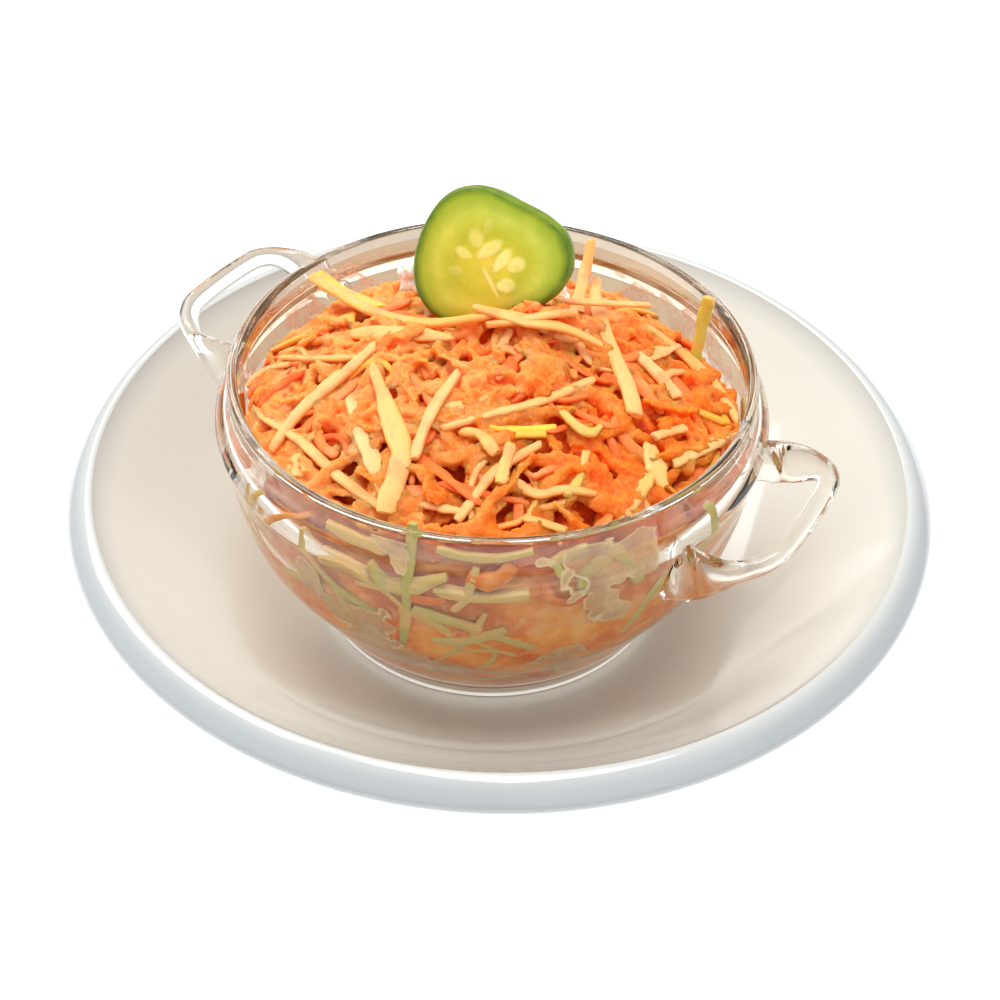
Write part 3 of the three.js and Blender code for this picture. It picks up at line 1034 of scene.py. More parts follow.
# the mass of dressed carrot: strips fused with the core, then swollen and roughened by what clings to them
carrotMass = {
    "count": 520, "tries": 1900, "outer": 55, "length": (8, 24), "bend": 2.0, "lift": (-2.6, 0.8),
    "tilt": 0.2, "arch": 0.5, "width": (1.7, 4.2), "thickness": (1.2, 2.4), "wave": 0.42, "taper": 0.2,
    "into": 0.12,
    "coreSink": 1.8,  # of the core under the heap's height
    "depth": 9,  # of the mass's underside under its top
    "follow": 0.9,  # how far the core rises and sinks with the clumps and hollows
    "uneven": 1.5,
    "voxel": 0.46,
    "most": 185000,  # triangles
    # painted shade: these six set where the mass gets the darker deep colour, in its hollows and folds
    "foldReach": 10,  # how many vertices away a fold is looked for
    "deepest": 3.2,  # mm under the top where the dressing ends
    "topFollow": 0.85,  # how far that top rises with the clumps
    "atWall": 0.62,  # how much of it stays beside the wall
    "wallReach": (4, 7),  # mm from the wall where that begins to fade, and where it has gone
    "paintedFoldShade": 0.8,  # how much each mm of a fold takes away
    "swell": 0.9,
    "grain": 0.55,
    # painted shade: the dressing's pattern thins this way, which makes that side of the heap darker and
    # deeper orange
    "paintedShadeWay": (0.75, -0.66, 0),  # the way in which the dressing gets thinner
    "paintedShadeShift": (0.008, 0.038, 0, 0.12),  # from and to, in metres, and by how much
    "seed": 21,
}


def roughen(piece, name, size, strength):
    texture = bpy.data.textures.new(name, "CLOUDS")
    texture.noise_scale = size * mm
    texture.noise_depth = 3
    rough = piece.modifiers.new(name, "DISPLACE")
    rough.texture = texture
    rough.texture_coords = "LOCAL"
    rough.strength = strength * mm


def carrotDressed():
    material, tree, shader = newMaterial("dressedCarrot")
    spot = objectPlace(tree)
    rise = readAttribute(tree, "rise")
    # painted shade: the dressing's pattern thins towards the front and the right, seen from the front, so
    # that side is darker and deeper orange
    paintedShadeWay = Vector(carrotMass["paintedShadeWay"])
    paintedShadeWay.rotate(Euler((0, 0, frontTurn)))
    paintedSideShade = addRange(tree, addAlong(tree, spot, paintedShadeWay), *carrotMass["paintedShadeShift"])
    patch = addMath(tree, "SUBTRACT", addNoise(tree, spot, 170, 4), paintedSideShade)
    grain = addMath(tree, "SUBTRACT", addNoise(tree, spot, 1300, 4, 0.7), paintedSideShade)
    dressed = addRamp(
        tree, patch, (0.32, (0.96, 0.15, 0.004)), (0.5, (0.98, 0.235, 0.03)), (0.68, (0.99, 0.33, 0.11)),
    )
    speckle = addRamp(tree, grain, (0.42, grey(0)), (0.66, grey(0.5)))
    speckled = addMix(tree, speckle, dressed, (0.99, 0.46, 0.18))
    # painted shade: a darker, redder colour where the rise is low, in the hollows and folds
    deepPaintedShade = addRamp(tree, patch, (0.35, (0.66, 0.05, 0.002)), (0.65, (0.90, 0.13, 0.004)))
    colour = addMix(tree, addRamp(tree, rise, (0.2, grey(0)), (0.75, grey(1))), deepPaintedShade, speckled)
    tree.links.new(colour, shader.inputs["Base Color"])
    addBump(tree, shader, grain, 0.7, 0.0005)
    gloss = addRamp(tree, patch, (0.3, grey(0.48)), (0.7, grey(0.32)))
    tree.links.new(gloss, shader.inputs["Roughness"])
    shader.inputs["Specular IOR Level"].default_value = 0.2
    setGlow(shader, 1.0, (1, 0.35, 0.1), 0.007)
    return material


def markRiseAndFoldShade(piece):
    # from 0 deep between the shreds to 1 on top of them, less in every fold; low values get the darker,
    # redder deep colour, a painted shade of the hollows and folds where the bare carrot shows
    mesh = piece.data
    count = len(mesh.vertices)
    places, normals = np.empty(count * 3), np.empty(count * 3)
    mesh.vertices.foreach_get("co", places)
    mesh.vertices.foreach_get("normal", normals)
    ends = np.empty(len(mesh.edges) * 2, dtype=np.int32)
    mesh.edges.foreach_get("vertices", ends)
    places, normals, ends = places.reshape(-1, 3), normals.reshape(-1, 3), ends.reshape(-1, 2)
    first, second = ends[:, 0], ends[:, 1]
    around = np.bincount(first, minlength=count) + np.bincount(second, minlength=count)
    smoothed = places.copy()
    for _ in range(carrotMass["foldReach"]):
        total = np.zeros_like(smoothed)
        for axis in range(3):
            total[:, axis] = np.bincount(first, smoothed[second, axis], count)
            total[:, axis] += np.bincount(second, smoothed[first, axis], count)
        smoothed = total / np.maximum(around, 1)[:, None]
    fold = np.einsum("ij,ij->i", smoothed - places, normals) / mm
    m = carrotMass
    near, far = m["wallReach"]
    rise = mesh.attributes.new("rise", "FLOAT", "POINT")
    for vertex in mesh.vertices:
        local = fromCup(vertex.co)
        clump = m["topFollow"] * max(reliefAt(local.x, local.y), 0)
        above = local.z - heapHeight(local.x, local.y) - clump
        room = wallRadius(local.z + cup["height"]) - math.hypot(local.x, local.y)
        # the dressing stays on top and at the glass, and each fold takes from it, which paints shade into the
        # fold
        besideWall = min(max((far - room) / (far - near), 0), 1)
        onTop = (above + m["deepest"]) / m["deepest"]
        share = max(onTop, m["atWall"] * besideWall) - m["paintedFoldShade"] * fold[vertex.index]
        rise.data[vertex.index].value = min(max(share, 0), 1)


def makeCarrotMass():
    m = carrotMass
    strips = scatterStrips(plainStrip, m)
    # the lens that they are fused with: its top follows the heap, its underside lies deeper
    rings = [(8, -m["depth"]), *[(radius, -m["depth"]) for radius in range(14, 57, 6)]]
    rings += [(55.5, -m["depth"] + 2), (55.5, 0), *[(radius, 0) for radius in range(50, 7, -6)]]
    lens = turnOutline("dressedCarrot", rings, 72, cupMiddle)
    for vertex in lens.data.vertices:
        local = fromCup(vertex.co)
        depth = m["depth"] if local.z < -cup["height"] - 1 else 0
        uneven = m["uneven"] * noise.noise(vertex.co * 130)
        lift = -m["coreSink"] - depth + m["follow"] * reliefAt(local.x, local.y) + uneven
        vertex.co = heldByWall(onHeap(local.x, local.y, lift), m["into"])
    mass = joinAll("dressedCarrot", [lens, *strips])
    coat = mass.modifiers.new("coat", "REMESH")
    coat.mode = "VOXEL"
    coat.voxel_size = m["voxel"] * mm
    soften = mass.modifiers.new("soften", "SMOOTH")
    soften.factor = 0.5
    soften.iterations = 3
    roughen(mass, "clumps", 2.8, m["swell"] * 2)
    roughen(mass, "grain", 0.9, m["grain"] * 2)
    applyAll(mass)
    thin = mass.modifiers.new("thin", "DECIMATE")
    thin.ratio = min(1, m["most"] / (2 * len(mass.data.polygons)))
    applyAll(mass)
    for vertex in mass.data.vertices:
        vertex.co = heldByWall(vertex.co, m["into"])
    markRiseAndFoldShade(mass)
    smoothShade(mass, 60)
    finishPiece(mass, carrotDressed(), "dressed_shreds", "coleslaw")
    print("carrot mass", len(mass.data.polygons), "faces")


makeCarrotMass()

# what fills the glass under the heap, just into its wall
filling = {
    "into": 0.12,
    "sides": 180,
    "under": 5.5,  # of its top under the heap's
    "uneven": 3,
}


def fillingMixed():
    material, tree, shader = newMaterial("slawThroughGlassShaded")
    spot = objectPlace(tree)
    big = addNoise(tree, spot, 85, 4)
    small = addNoise(tree, spot, 420, 4)
    # painted shade: darker copies of the heap's colours, for the dim light inside the cup
    mass = addRamp(
        tree, big,
        (0.33, (0.56, 0.08, 0.005)), (0.47, (0.70, 0.19, 0.02)), (0.6, (0.76, 0.29, 0.05)),
        (0.72, (0.78, 0.40, 0.13)),
    )
    colour = addMix(tree, addRamp(tree, small, (0.5, grey(0)), (0.7, grey(0.6))), mass, (0.80, 0.44, 0.15))
    tree.links.new(colour, shader.inputs["Base Color"])
    addBump(tree, shader, small, 0.4, 0.0006)
    shader.inputs["Roughness"].default_value = 0.5
    shader.inputs["Specular IOR Level"].default_value = 0.1
    setGlow(shader, 0.2, (1, 0.5, 0.2), 0.003)
    return material


def makeFilling():
    f = filling
    low = cup["floor"] - f["into"]
    wall = [(radius + f["into"], max(height - f["into"], low)) for radius, height in insideOutline]
    lid = [(radius, cup["height"]) for radius in range(52, 7, -4)]
    body = turnOutline("slawFilling", [*wall, *lid], f["sides"], cupMiddle)
    for vertex in body.data.vertices:
        local = fromCup(vertex.co)
        top = heapHeight(local.x, local.y) - f["under"] + f["uneven"] * noise.noise(vertex.co * 90)
        vertex.co = heldByWall(toCup(local.x, local.y, min(local.z, top)), f["into"])
    pick(body)
    bpy.ops.object.mode_set(mode="EDIT")
    bpy.ops.mesh.select_all(action="SELECT")
    bpy.ops.mesh.remove_doubles(threshold=0.02 * mm)
    bpy.ops.mesh.normals_make_consistent(inside=False)
    bpy.ops.object.mode_set(mode="OBJECT")
    smoothShade(body, 60)
    finishPiece(body, fillingMixed(), "dressed_shreds", "coleslaw")


makeFilling()
print("cup filled")

# the strips that show one by one: width or widths, thickness, lift over the heap, and points right and back
# of the cup's axis, with a third number, up of the rim, where the strip leaves the heap; all in mm
paleStrips = {
    "longBack": ((3.2, 3.6, 3.4, 2.4), 1.9, 2.0, [(-43, 29, 0), (-35, 20, 1.5), (-25, 9), (-13, 2), (1, 1)]),
    "longBackLeaf": ((4, 6, 3), 1.3, 1.2, [(-42, 32, -1), (-36, 25, -1), (-25, 15)]),
    "shortUnder": ((3, 5, 2.6), 1.6, 1.6, [(-31, 4), (-22, 0), (-9, -3)]),
    "leftBack": ((5, 3.6, 4.4), 1.5, 1.4, [(-51, 17), (-40, 12), (-31, 13)]),
    "leftMid": (2.4, 1.4, 1.6, [(-48, 8), (-38, -3), (-29, -6)]),
    "leftDiagonal": ((3.4, 3.3, 2.6), 2.0, 2.2, [(-25, -4), (-33, -13), (-40, -19), (-45, -27)]),
    "leftStrand": (2.3, 1.4, 1.4, [(-32, -9), (-35, -12), (-37, -16)]),
    "leftLow": (2.5, 1.4, 1.2, [(-56, 4), (-51, 6), (-45, 2)]),
    "leftFront": ((4, 2.8, 2.2), 1.6, 1.5, [(-53, -8), (-40, -25), (-30, -38), (-21, -46)]),
    "broad": ((3, 2.8, 4.4, 6, 5.4, 4.8, 5), 1.8, 2.4, [(-25, -12), (-21, -24), (-17.5, -36), (-20, -48)]),
    "broadLeft": ((3, 4.6, 5.2, 2.8), 1.6, 1.4, [(-29, -18), (-25, -31), (-20, -44)]),
    "fork": ((2.2, 3.2, 2.2), 1.8, 2.2, [(-7, -15), (-12, -26), (-15, -37)]),
    "centreLong": ((2.6, 3, 2.2), 1.6, 1.8, [(21, -13), (9, -23), (-1, -27), (-10, -30)]),
    "centreA": ((1.8, 2.6, 3.8), 1.7, 1.9, [(-6, -31), (-2, -32), (1, -37)]),
    "centreB": ((2.6, 3.2), 1.7, 2.3, [(4, -34), (3, -39), (2, -43)]),
    "centreC": ((2.2, 2.8, 2.2), 1.6, 1.5, [(10, -33), (2, -39), (-2, -44), (-6, -50)]),
    "hook": ((2, 2.6, 1.8), 1.5, 1.8, [(14, -25), (17, -28.5), (20, -29.5), (22, -27)]),
    "flatYellow": (2.2, 1.3, 1.1, [(-1, -29), (6, -29.5), (13, -28.5)]),
    "flatLow": (2.1, 1.3, 1.1, [(1, -31.5), (6, -30.5), (11, -30.5)]),
    "downRight": ((2.2, 1.9, 2.4), 1.4, 1.6, [(19, -34), (17.5, -40), (15, -45)]),
    "lowStrip": ((2, 2.8, 2), 1.4, 1.6, [(5, -41.5), (9, -44), (15, -43.5), (21, -42.5)]),
    "shortFront": (2.2, 1.3, 1.4, [(7, -49), (10, -49.5), (15, -50.5)]),
    "rightFront": ((3.4, 2.4), 1.5, 1.5, [(32, -34), (29, -41), (25, -47)]),
    "upright": ((2.2, 3.6, 4.2), 1.8, 0.5, [(21.4, 27.7, 13), (20, 22, 8), (18, 12)]),
    "tallRight": (
        (2.8, 3.6, 3.4, 4.8, 4.2), 1.8, 2.0,
        [(22.6, 22.3, 6), (22.5, 14, 5), (25, 2), (28, -11), (29.5, -21)],
    ),
    "greenRight": ((3.8, 3), 1.8, 1.0, [(48, 18.5, 4.5), (47, 17, -1), (46, 13)]),
    "backThin": ((2.4, 3, 2.4), 1.3, 0, [(13, 10, 8.4), (22.5, 10.5, 7.6), (34, 12, 6.3)]),
    "sliceFront": (
        (2, 4.4, 3.2, 2.6), 1.7, 0,
        [(-4.6, 2.6, 11.2), (6.4, -2.3, 11.6), (14.5, -3, 10.4), (22.6, -4.8, 7.5)],
    ),
    "sliceCross": (
        (2.2, 2.6, 1.8), 1.6, 0,
        [(-1.7, -1.6, 9.6), (5.7, -2.1, 11.5), (12.8, -0.8, 12.3), (17.2, 2.4, 10.5)],
    ),
    "sliceTwist": (
        (2, 3.6, 2.4, 2), 1.5, 0,
        [(3.6, -1.2, 8.4), (1.8, -4.5, 6.6), (4, -6, 6.2), (8.8, -9, 6)],
    ),
    "backYellow": ((3, 3.6), 1.4, 1.6, [(17, 23), (27, 28), (40, 40)]),
    "rightSlant": ((2.4, 3.2, 2.8), 1.6, 2.0, [(31, 1), (36, -5), (39.5, -10)]),
    "rightRear": ((3, 4.6, 2.4), 1.6, 1.8, [(34, 13), (47, 9), (54, -8)]),
    "rightTwig": (2.2, 1.3, 1.8, [(37, -4), (39, -1), (44, 4)]),
    "rightCream": ((4, 5.4, 4.6), 1.3, 1.5, [(33, 1), (36.5, 6), (41, 15)]),
    "rightFlat": (2.8, 1.4, 1.8, [(33, -25), (40, -20)]),
    "rightBroad": ((4, 5, 3), 1.5, 1.4, [(32, -27), (33.5, -32), (35, -36)]),
    "rimStrip": ((4.6, 2.8), 1.5, 1.6, [(54, -12), (47, -20), (37, -30)]),
    "rimLow": ((4, 3.4), 1.5, 1.5, [(50, -22), (40, -37)]),
    "frontLow": (2.5, 1.4, 1.2, [(-13, -46), (-5, -48)]),
    "leftStub": ((3.4, 4.2), 1.4, 0.9, [(-39, -29.5), (-38, -36)]),
}
# tints of the strips that aren't plainly pale: 0 is orange yellow, 1 is green
namedTints = {
    "greenRight": 1.0, "longBackLeaf": 0.05, "leftBack": 0.12, "backYellow": 0.05, "flatYellow": 0.0,
    "flatLow": 0.06, "longBack": 0.35, "shortUnder": 0.5, "hook": 0.92, "centreB": 0.9, "downRight": 0.94,
    "rimLow": 0.15,
}
longCut = {
    "slim": 0.86,  # of the widths above
    "thin": 0.95,  # of the thicknesses
    "wave": 0.15,
    "roll": 16,
    "taper": 0.16,
    "follow": 0.9,  # how far the strips rise with the clumps
    "plainTint": (0.4, 0.8),
    "seed": 7,
}
cabbage = {
    "count": 20, "tries": 400, "outer": 53, "length": (14, 30), "bend": 2.4, "lift": (-1.4, 0.5),
    "tilt": 0.16, "arch": 0.9, "width": (1.2, 2.0), "thickness": (0.9, 1.4), "wave": 0.26, "taper": 0.3,
    "into": 0.1, "seed": 33,
}
plainCarrot = {
    "count": 120, "tries": 900, "outer": 54, "length": (8, 24), "bend": 1.8, "lift": (-1.4, 0.4),
    "tilt": 0.22, "arch": 0.7, "width": (1.5, 2.9), "thickness": (1.0, 1.8), "wave": 0.34, "taper": 0.2,
    "into": 0.1, "seed": 47,
    "roughness": 0.68,
}
# the colours of the strips: ramp runs over their tints, fibre is the streaks' colour and coated is the
# dressing's, sides multiplies what faces sideways or down, a painted shade, and clear is how much light goes
# in
stripLooks = {
    "paleCabbage": {
        "ramp": (
            (0.0, (0.98, 0.62, 0.02)), (0.15, (0.97, 0.40, 0.02)), (0.4, (0.97, 0.46, 0.10)),
            (0.8, (0.97, 0.52, 0.19)), (1.0, (0.64, 0.52, 0.05)),
        ),
        "fibre": (0.98, 0.56, 0.23),
        "coated": (0.97, 0.34, 0.10),
        "sides": (1, 0.9, 0.64),
        "roughness": 0.24,
        "clear": 0.3,
    },
    "carrotShreds": {
        "ramp": ((0.0, (0.92, 0.11, 0.003)), (0.55, (0.95, 0.17, 0.012)), (1.0, (0.97, 0.27, 0.05))),
        "fibre": (0.97, 0.21, 0.025),
        "coated": (0.98, 0.34, 0.10),
        "sides": (1, 0.7, 0.4),
        "roughness": 0.38,
        "clear": 0.3,
    },
    # painted shade: the two looks for the strips on the glass are darker copies of the ones above, for the
    # dimmer light inside the cup
    "paleAtGlassShaded": {
        "ramp": ((0.0, (0.66, 0.37, 0.07)), (0.5, (0.63, 0.43, 0.14)), (1.0, (0.44, 0.40, 0.08))),
        "fibre": (0.64, 0.46, 0.18),
        "coated": (0.76, 0.40, 0.14),
        "sides": (1, 1, 1),
        "roughness": 0.4,
        "clear": 0,
    },
    "carrotAtGlassShaded": {
        "ramp": ((0.0, (0.66, 0.12, 0.004)), (0.55, (0.70, 0.18, 0.01)), (1.0, (0.74, 0.28, 0.05))),
        "fibre": (0.74, 0.30, 0.06),
        "coated": (0.78, 0.38, 0.12),
        "sides": (1, 1, 1),
        "roughness": 0.4,
        "clear": 0,
    },
}


def stripMaterial(name):
    look = stripLooks[name]
    material, tree, shader = newMaterial(name)
    along = addNode(tree, "ShaderNodeUVMap", uv_map="strip").outputs["UV"]
    spot = objectPlace(tree)
    tint = readAttribute(tree, "tint")
    stretch = addNode(tree, "ShaderNodeMapping")
    stretch.inputs["Scale"].default_value = (9, 1.1, 1)
    tree.links.new(along, stretch.inputs["Vector"])
    fibres = addNoise(tree, stretch.outputs["Vector"], 3, 4)
    base = addRamp(tree, tint, *look["ramp"])
    streaked = addMix(tree, addRamp(tree, fibres, (0.4, grey(0)), (0.75, grey(0.45))), base, look["fibre"])
    dressing = addRamp(tree, addNoise(tree, spot, 150, 4), (0.5, grey(0)), (0.66, grey(0.8)))
    topped = addMix(tree, dressing, streaked, look["coated"])
    # painted shade: deeper and darker in colour down the sides and underneath, where the light that came
    # through the strip would tint them
    facing = addHeight(tree, addNode(tree, "ShaderNodeNewGeometry").outputs["Normal"])
    depth = addRamp(tree, facing, (0.0, look["sides"]), (0.5, grey(1)))
    tree.links.new(addMix(tree, 1.0, topped, depth, "MULTIPLY"), shader.inputs["Base Color"])
    addBump(tree, shader, fibres, 0.6, 0.0004)
    shader.inputs["Roughness"].default_value = look["roughness"]
    setGlow(shader, look["clear"], (1, 0.9, 0.6), 0.0012)
    return material


def namedSpot(point, lift):
    # on the heap where only two numbers are given
    right, back, *up = point
    spot = fromFront(right, back, up[0] if up else 0)
    if not up:
        local = fromCup(spot)
        spot = onHeap(local.x, local.y, lift + longCut["follow"] * max(reliefAt(local.x, local.y), 0))
    return spot


def makeLongStrips():
    c = longCut
    draw = random.Random(c["seed"])
    strips = []
    for name, (width, thickness, lift, points) in paleStrips.items():
        tint = namedTints.get(name, draw.uniform(*c["plainTint"]))
        spots = [namedSpot(point, lift) for point in points]
        slim = tuple(w * c["slim"] for w in width) if isinstance(width, tuple) else width * c["slim"]
        roll = draw.uniform(-c["roll"], c["roll"])
        thin = thickness * c["thin"]
        strips.append(layStrip(fineStrip, spots, slim, thin, draw, c["wave"], c["taper"], roll, tint=tint))
    return joinAll("cabbageLong", strips)


def makeStrips():
    pale = stripMaterial("paleCabbage")
    for piece in (makeLongStrips(), joinAll("cabbageShort", scatterStrips(plainStrip, cabbage))):
        smoothShade(piece, 60)
        finishPiece(piece, pale, "dressed_shreds")
    piece = joinAll("carrotShort", scatterStrips(plainStrip, plainCarrot))
    fine = piece.modifiers.new("fine", "SUBSURF")
    fine.levels = fine.render_levels = 1
    roughen(piece, "coated", 1.3, plainCarrot["roughness"])
    applyAll(piece)
    smoothShade(piece, 60)
    finishPiece(piece, stripMaterial("carrotShreds"), "dressed_shreds")
    print("carrot shreds", len(piece.data.polygons), "faces")


makeStrips()
print("shreds laid")

# shreds pressed on the glass: width, tint, and [angle, height] in degrees and mm, where -90 is the front and
# the height is from the rim
wallStrips = {
    "pale": [
        (2.4, 1.0, [(-105, 0.5), (-105.2, -10), (-106, -22), (-107.5, -32.5)]),
        (3.4, 0.75, [(-104.5, -19.5), (-100, -21), (-96, -22), (-91, -24)]),
        (3.2, 0.6, [(-101, -29), (-95.5, -28.3), (-90, -26), (-86, -23.6)]),
        (2.6, 0.7, [(-91, -25), (-86, -27), (-80, -31)]),
        (1.5, 0.6, [(-88, -30), (-88.5, -35), (-92, -40)]),
        (1.9, 0.7, [(-97, -51), (-88, -49), (-83, -46), (-79, -42)]),
        (1.9, 0.6, [(-100, -4.4), (-94.5, -5.4), (-87.5, -5.5), (-81, -4.2)]),
        (3.0, 0.3, [(-124, -6.5), (-117, -6.9), (-110, -6.9)]),
        (1.8, 0.9, [(-77, -6.6), (-76, -9), (-74.5, -11.5)]),
        (2.2, 0.6, [(-78, -7.6), (-74, -6.1), (-70, -5)]),
        (2.8, 1.0, [(-66, -6), (-63, -9), (-59, -16)]),
        (2.6, 0.55, [(-138, -27), (-130, -24.3), (-125, -23.8)]),
        (2.2, 0.6, [(-122, -21), (-120.5, -25), (-118.5, -29)]),
        (2.2, 0.8, [(-60, -33), (-56, -25), (-51, -18)]),
        (1.6, 0.5, [(-100, -12.5), (-92, -13.5), (-82, -13)]),
    ],
    "thickness": 1.2,
    "into": 0.34,
    # the rest are drawn by chance
    "count": 110,
    "heights": (-56, -3),  # of their middles, from the rim and from the heap's edge
    "edgeRadius": 55,
    "lowest": -58,
    "length": (9, 24),
    "bend": 0.9,
    "heading": 0.6,
    "width": (1.3, 2.8),
    "paleInto": (0.2, 0.3),
    "orangeInto": (0.14, 0.24),
    "orangeWider": 1.2,
    "orangeThickness": 1.4,
    "seed": 61,
}


def onWall(angle, height):
    radius = wallRadius(height + cup["height"])
    turn = math.radians(angle) + frontTurn
    return toCup(radius * math.cos(turn), radius * math.sin(turn), height)


def pressStrip(template, points, width, thickness, draw, into, tint):
    # lies flat on the glass: its own width runs across the wall
    strip = copyStrip(template)
    offset = draw.uniform(0, 100)
    path = [Vector((angle, height, 0)) for angle, height in points]
    length = 0
    for first, second in zip(path, path[1:]):
        length += math.hypot(second.x - first.x, second.y - first.y)
    for vertex in strip.data.vertices:
        t = vertex.co.y + 0.5
        middle = curvePoint(path, t)
        tangent = curvePoint(path, t + cut["aside"]) - curvePoint(path, t - cut["aside"])
        tangent.normalize()
        across = Vector((-tangent.y, tangent.x, 0))
        girth = (1 - 0.3 * abs(2 * t - 1) ** 3) * (1 + 0.4 * noise.noise(Vector((t * 4, offset, 0))))
        place = middle + across * vertex.co.x * width * girth
        place.y = max(place.y, cup["floor"] + 0.9 - cup["height"])
        depth = into - (0.5 - vertex.co.z) * thickness
        spot = onWall(place.x, place.y)
        radial = Vector((spot.x - cupMiddle.x, spot.y - cupMiddle.y, 0)).normalized()
        vertex.co = spot + radial * depth * mm
    return tintStrip(strip, tint, offset, length)


def makeWallStrips():
    w = wallStrips
    draw = random.Random(w["seed"])
    pale, orange = [], []
    for width, tint, points in w["pale"]:
        pale.append(pressStrip(fineStrip, points, width, w["thickness"], draw, w["into"], tint))
    for i in range(w["count"]):
        angle = draw.uniform(-180, 180)
        turn = math.radians(angle) + frontTurn
        edge = heapHeight(w["edgeRadius"] * math.cos(turn), w["edgeRadius"] * math.sin(turn))
        height = draw.uniform(w["heights"][0], edge + w["heights"][1])
        heading = draw.gauss(0, w["heading"])
        length = draw.uniform(*w["length"])
        bend = draw.uniform(-w["bend"], w["bend"])
        points = []
        for k in range(4):
            along = k / 3 - 0.5
            side = angle + math.cos(heading + bend * along) * along * length
            up = height + math.sin(heading + bend * along) * along * length
            points.append((side, min(max(up, w["lowest"]), edge)))
        width = draw.uniform(*w["width"])
        if i % 2:
            into, tint = draw.uniform(*w["paleInto"]), draw.random()
            pale.append(pressStrip(plainStrip, points, width, w["thickness"], draw, into, tint))
        else:
            into, tint = draw.uniform(*w["orangeInto"]), draw.random()
            wider = width * w["orangeWider"]
            orange.append(pressStrip(plainStrip, points, wider, w["orangeThickness"], draw, into, tint))
    pieces = (("cabbageAtGlass", pale, "paleAtGlassShaded"), ("carrotAtGlassShaded", orange, "carrotAtGlassShaded"))
    for name, strips, look in pieces:
        piece = joinAll(name, strips)
        faceOutwards(piece)
        smoothShade(piece, 45)
        finishPiece(piece, stripMaterial(look), "dressed_shreds")


makeWallStrips()
for template in (fineStrip, plainStrip):
    bpy.data.objects.remove(template)
print("shreds pressed on the glass")

# films of dressing on the glass; the spots that they cover are [angle, height, half width, half height] in
# degrees and mm, where -90 is the front and the height is from the rim
films = {
    "creamAtGlass": {
        # pressed on the glass under the heap
        "spots": [
            (-109, -4, 4, 4), (-107, -8, 2.5, 4), (-115, -32, 7, 9), (-109, -41, 8, 6), (-99, -42, 6, 4),
            (-67, -9, 10, 6), (-60, -9, 6, 6), (-67, -18, 4, 6), (-64, -24, 3, 5), (-74, -36, 6, 3),
            (-68, -42, 8, 3.5), (-128, -22, 3.5, 5), (-122, -30, 4, 6), (-50, -40, 7, 5), (-20, -30, 8, 7),
            (30, -38, 9, 6), (75, -42, 10, 5), (120, -38, 8, 7), (160, -40, 9, 6), (-160, -36, 8, 7),
            (-35, -50, 12, 4), (10, -50, 12, 4), (100, -52, 14, 4), (-150, -52, 12, 4),
        ],
        "uneven": 0.75,
        "into": 0.45,
        "thickness": 0.4,
        "colour": (0.74, 0.52, 0.27),
        "edge": (0.84, 0.66, 0.38),
        "opacity": (0.15, 0.6),
        "clouds": 120,
    },
    "smearOnGlass": {
        # on the glass above the heap
        "spots": [
            (133, -8, 5, 3), (146, -14, 7, 4), (125, -17, 6, 3), (53, -15, 6, 4), (42, -17, 7, 5),
            (34, -15, 5, 6), (24, -17, 6, 4), (58, -10, 3, 2.5), (155, -19, 5, 3), (-146, -10, 4, 6),
            (-152, -16, 5, 3), (5, -15, 4, 5), (170, -16, 5, 3), (-163, -13, 3.5, 5), (-20, -12, 3, 4),
        ],
        "uneven": 1.1,
        "into": -0.1,
        "thickness": 0.3,
        "colour": (0.95, 0.90, 0.80),
        "edge": (0.97, 0.94, 0.86),
        "opacity": (0.08, 0.55),
        "clouds": 220,
    },
}
filmMesh = {
    "sides": 420,
    "rows": 100,
    "heights": (6.2, 60.5),  # above the cup's base, of the lowest row and the topmost
}


def filmMaterial(name):
    # thin where it is pressed on the glass, and thicker in a bead along its edge
    f = films[name]
    material, tree, shader = newMaterial(name)
    spot = objectPlace(tree)
    cover = readAttribute(tree, "cover")
    cloud = addNoise(tree, spot, f["clouds"], 4)
    body = addRamp(tree, cloud, (0.3, tuple(c * 0.86 for c in f["colour"])), (0.7, f["colour"]))
    bead = addRamp(tree, cover, (0.0, grey(0)), (0.03, grey(0.6)), (0.07, grey(0.6)), (0.16, grey(0)))
    tree.links.new(addMix(tree, bead, body, f["edge"]), shader.inputs["Base Color"])
    addBump(tree, shader, addNoise(tree, spot, 600, 3), 0.3, 0.0004)
    low, high = f["opacity"]
    thin = addRamp(tree, cloud, (0.35, grey(low)), (0.65, grey(high)))
    begin = addRamp(tree, cover, (0.0, grey(0)), (0.06, grey(1)))
    faded = addMix(tree, 1.0, thin, begin, "MULTIPLY")
    tree.links.new(addMix(tree, 1.0, faded, bead, "LIGHTEN"), shader.inputs["Alpha"])
    shader.inputs["Roughness"].default_value = 0.3
    return material


def coverAt(local, spots, uneven):
    # how thickly the spots cover a place on the wall, below 0 where they leave it bare
    angle = math.degrees(math.atan2(local.y, local.x) - frontTurn)
    cover = -1
    for middle, height, halfWidth, halfHeight in spots:
        aside = (angle - middle + 180) % 360 - 180
        if abs(aside) < halfWidth * 2 and abs(local.z - height) < halfHeight * 2:
            cover = max(cover, 1 - math.hypot(aside / halfWidth, (local.z - height) / halfHeight))
    return cover + uneven * noise.fractal(local * 0.15, 0.9, 2.1, 3)


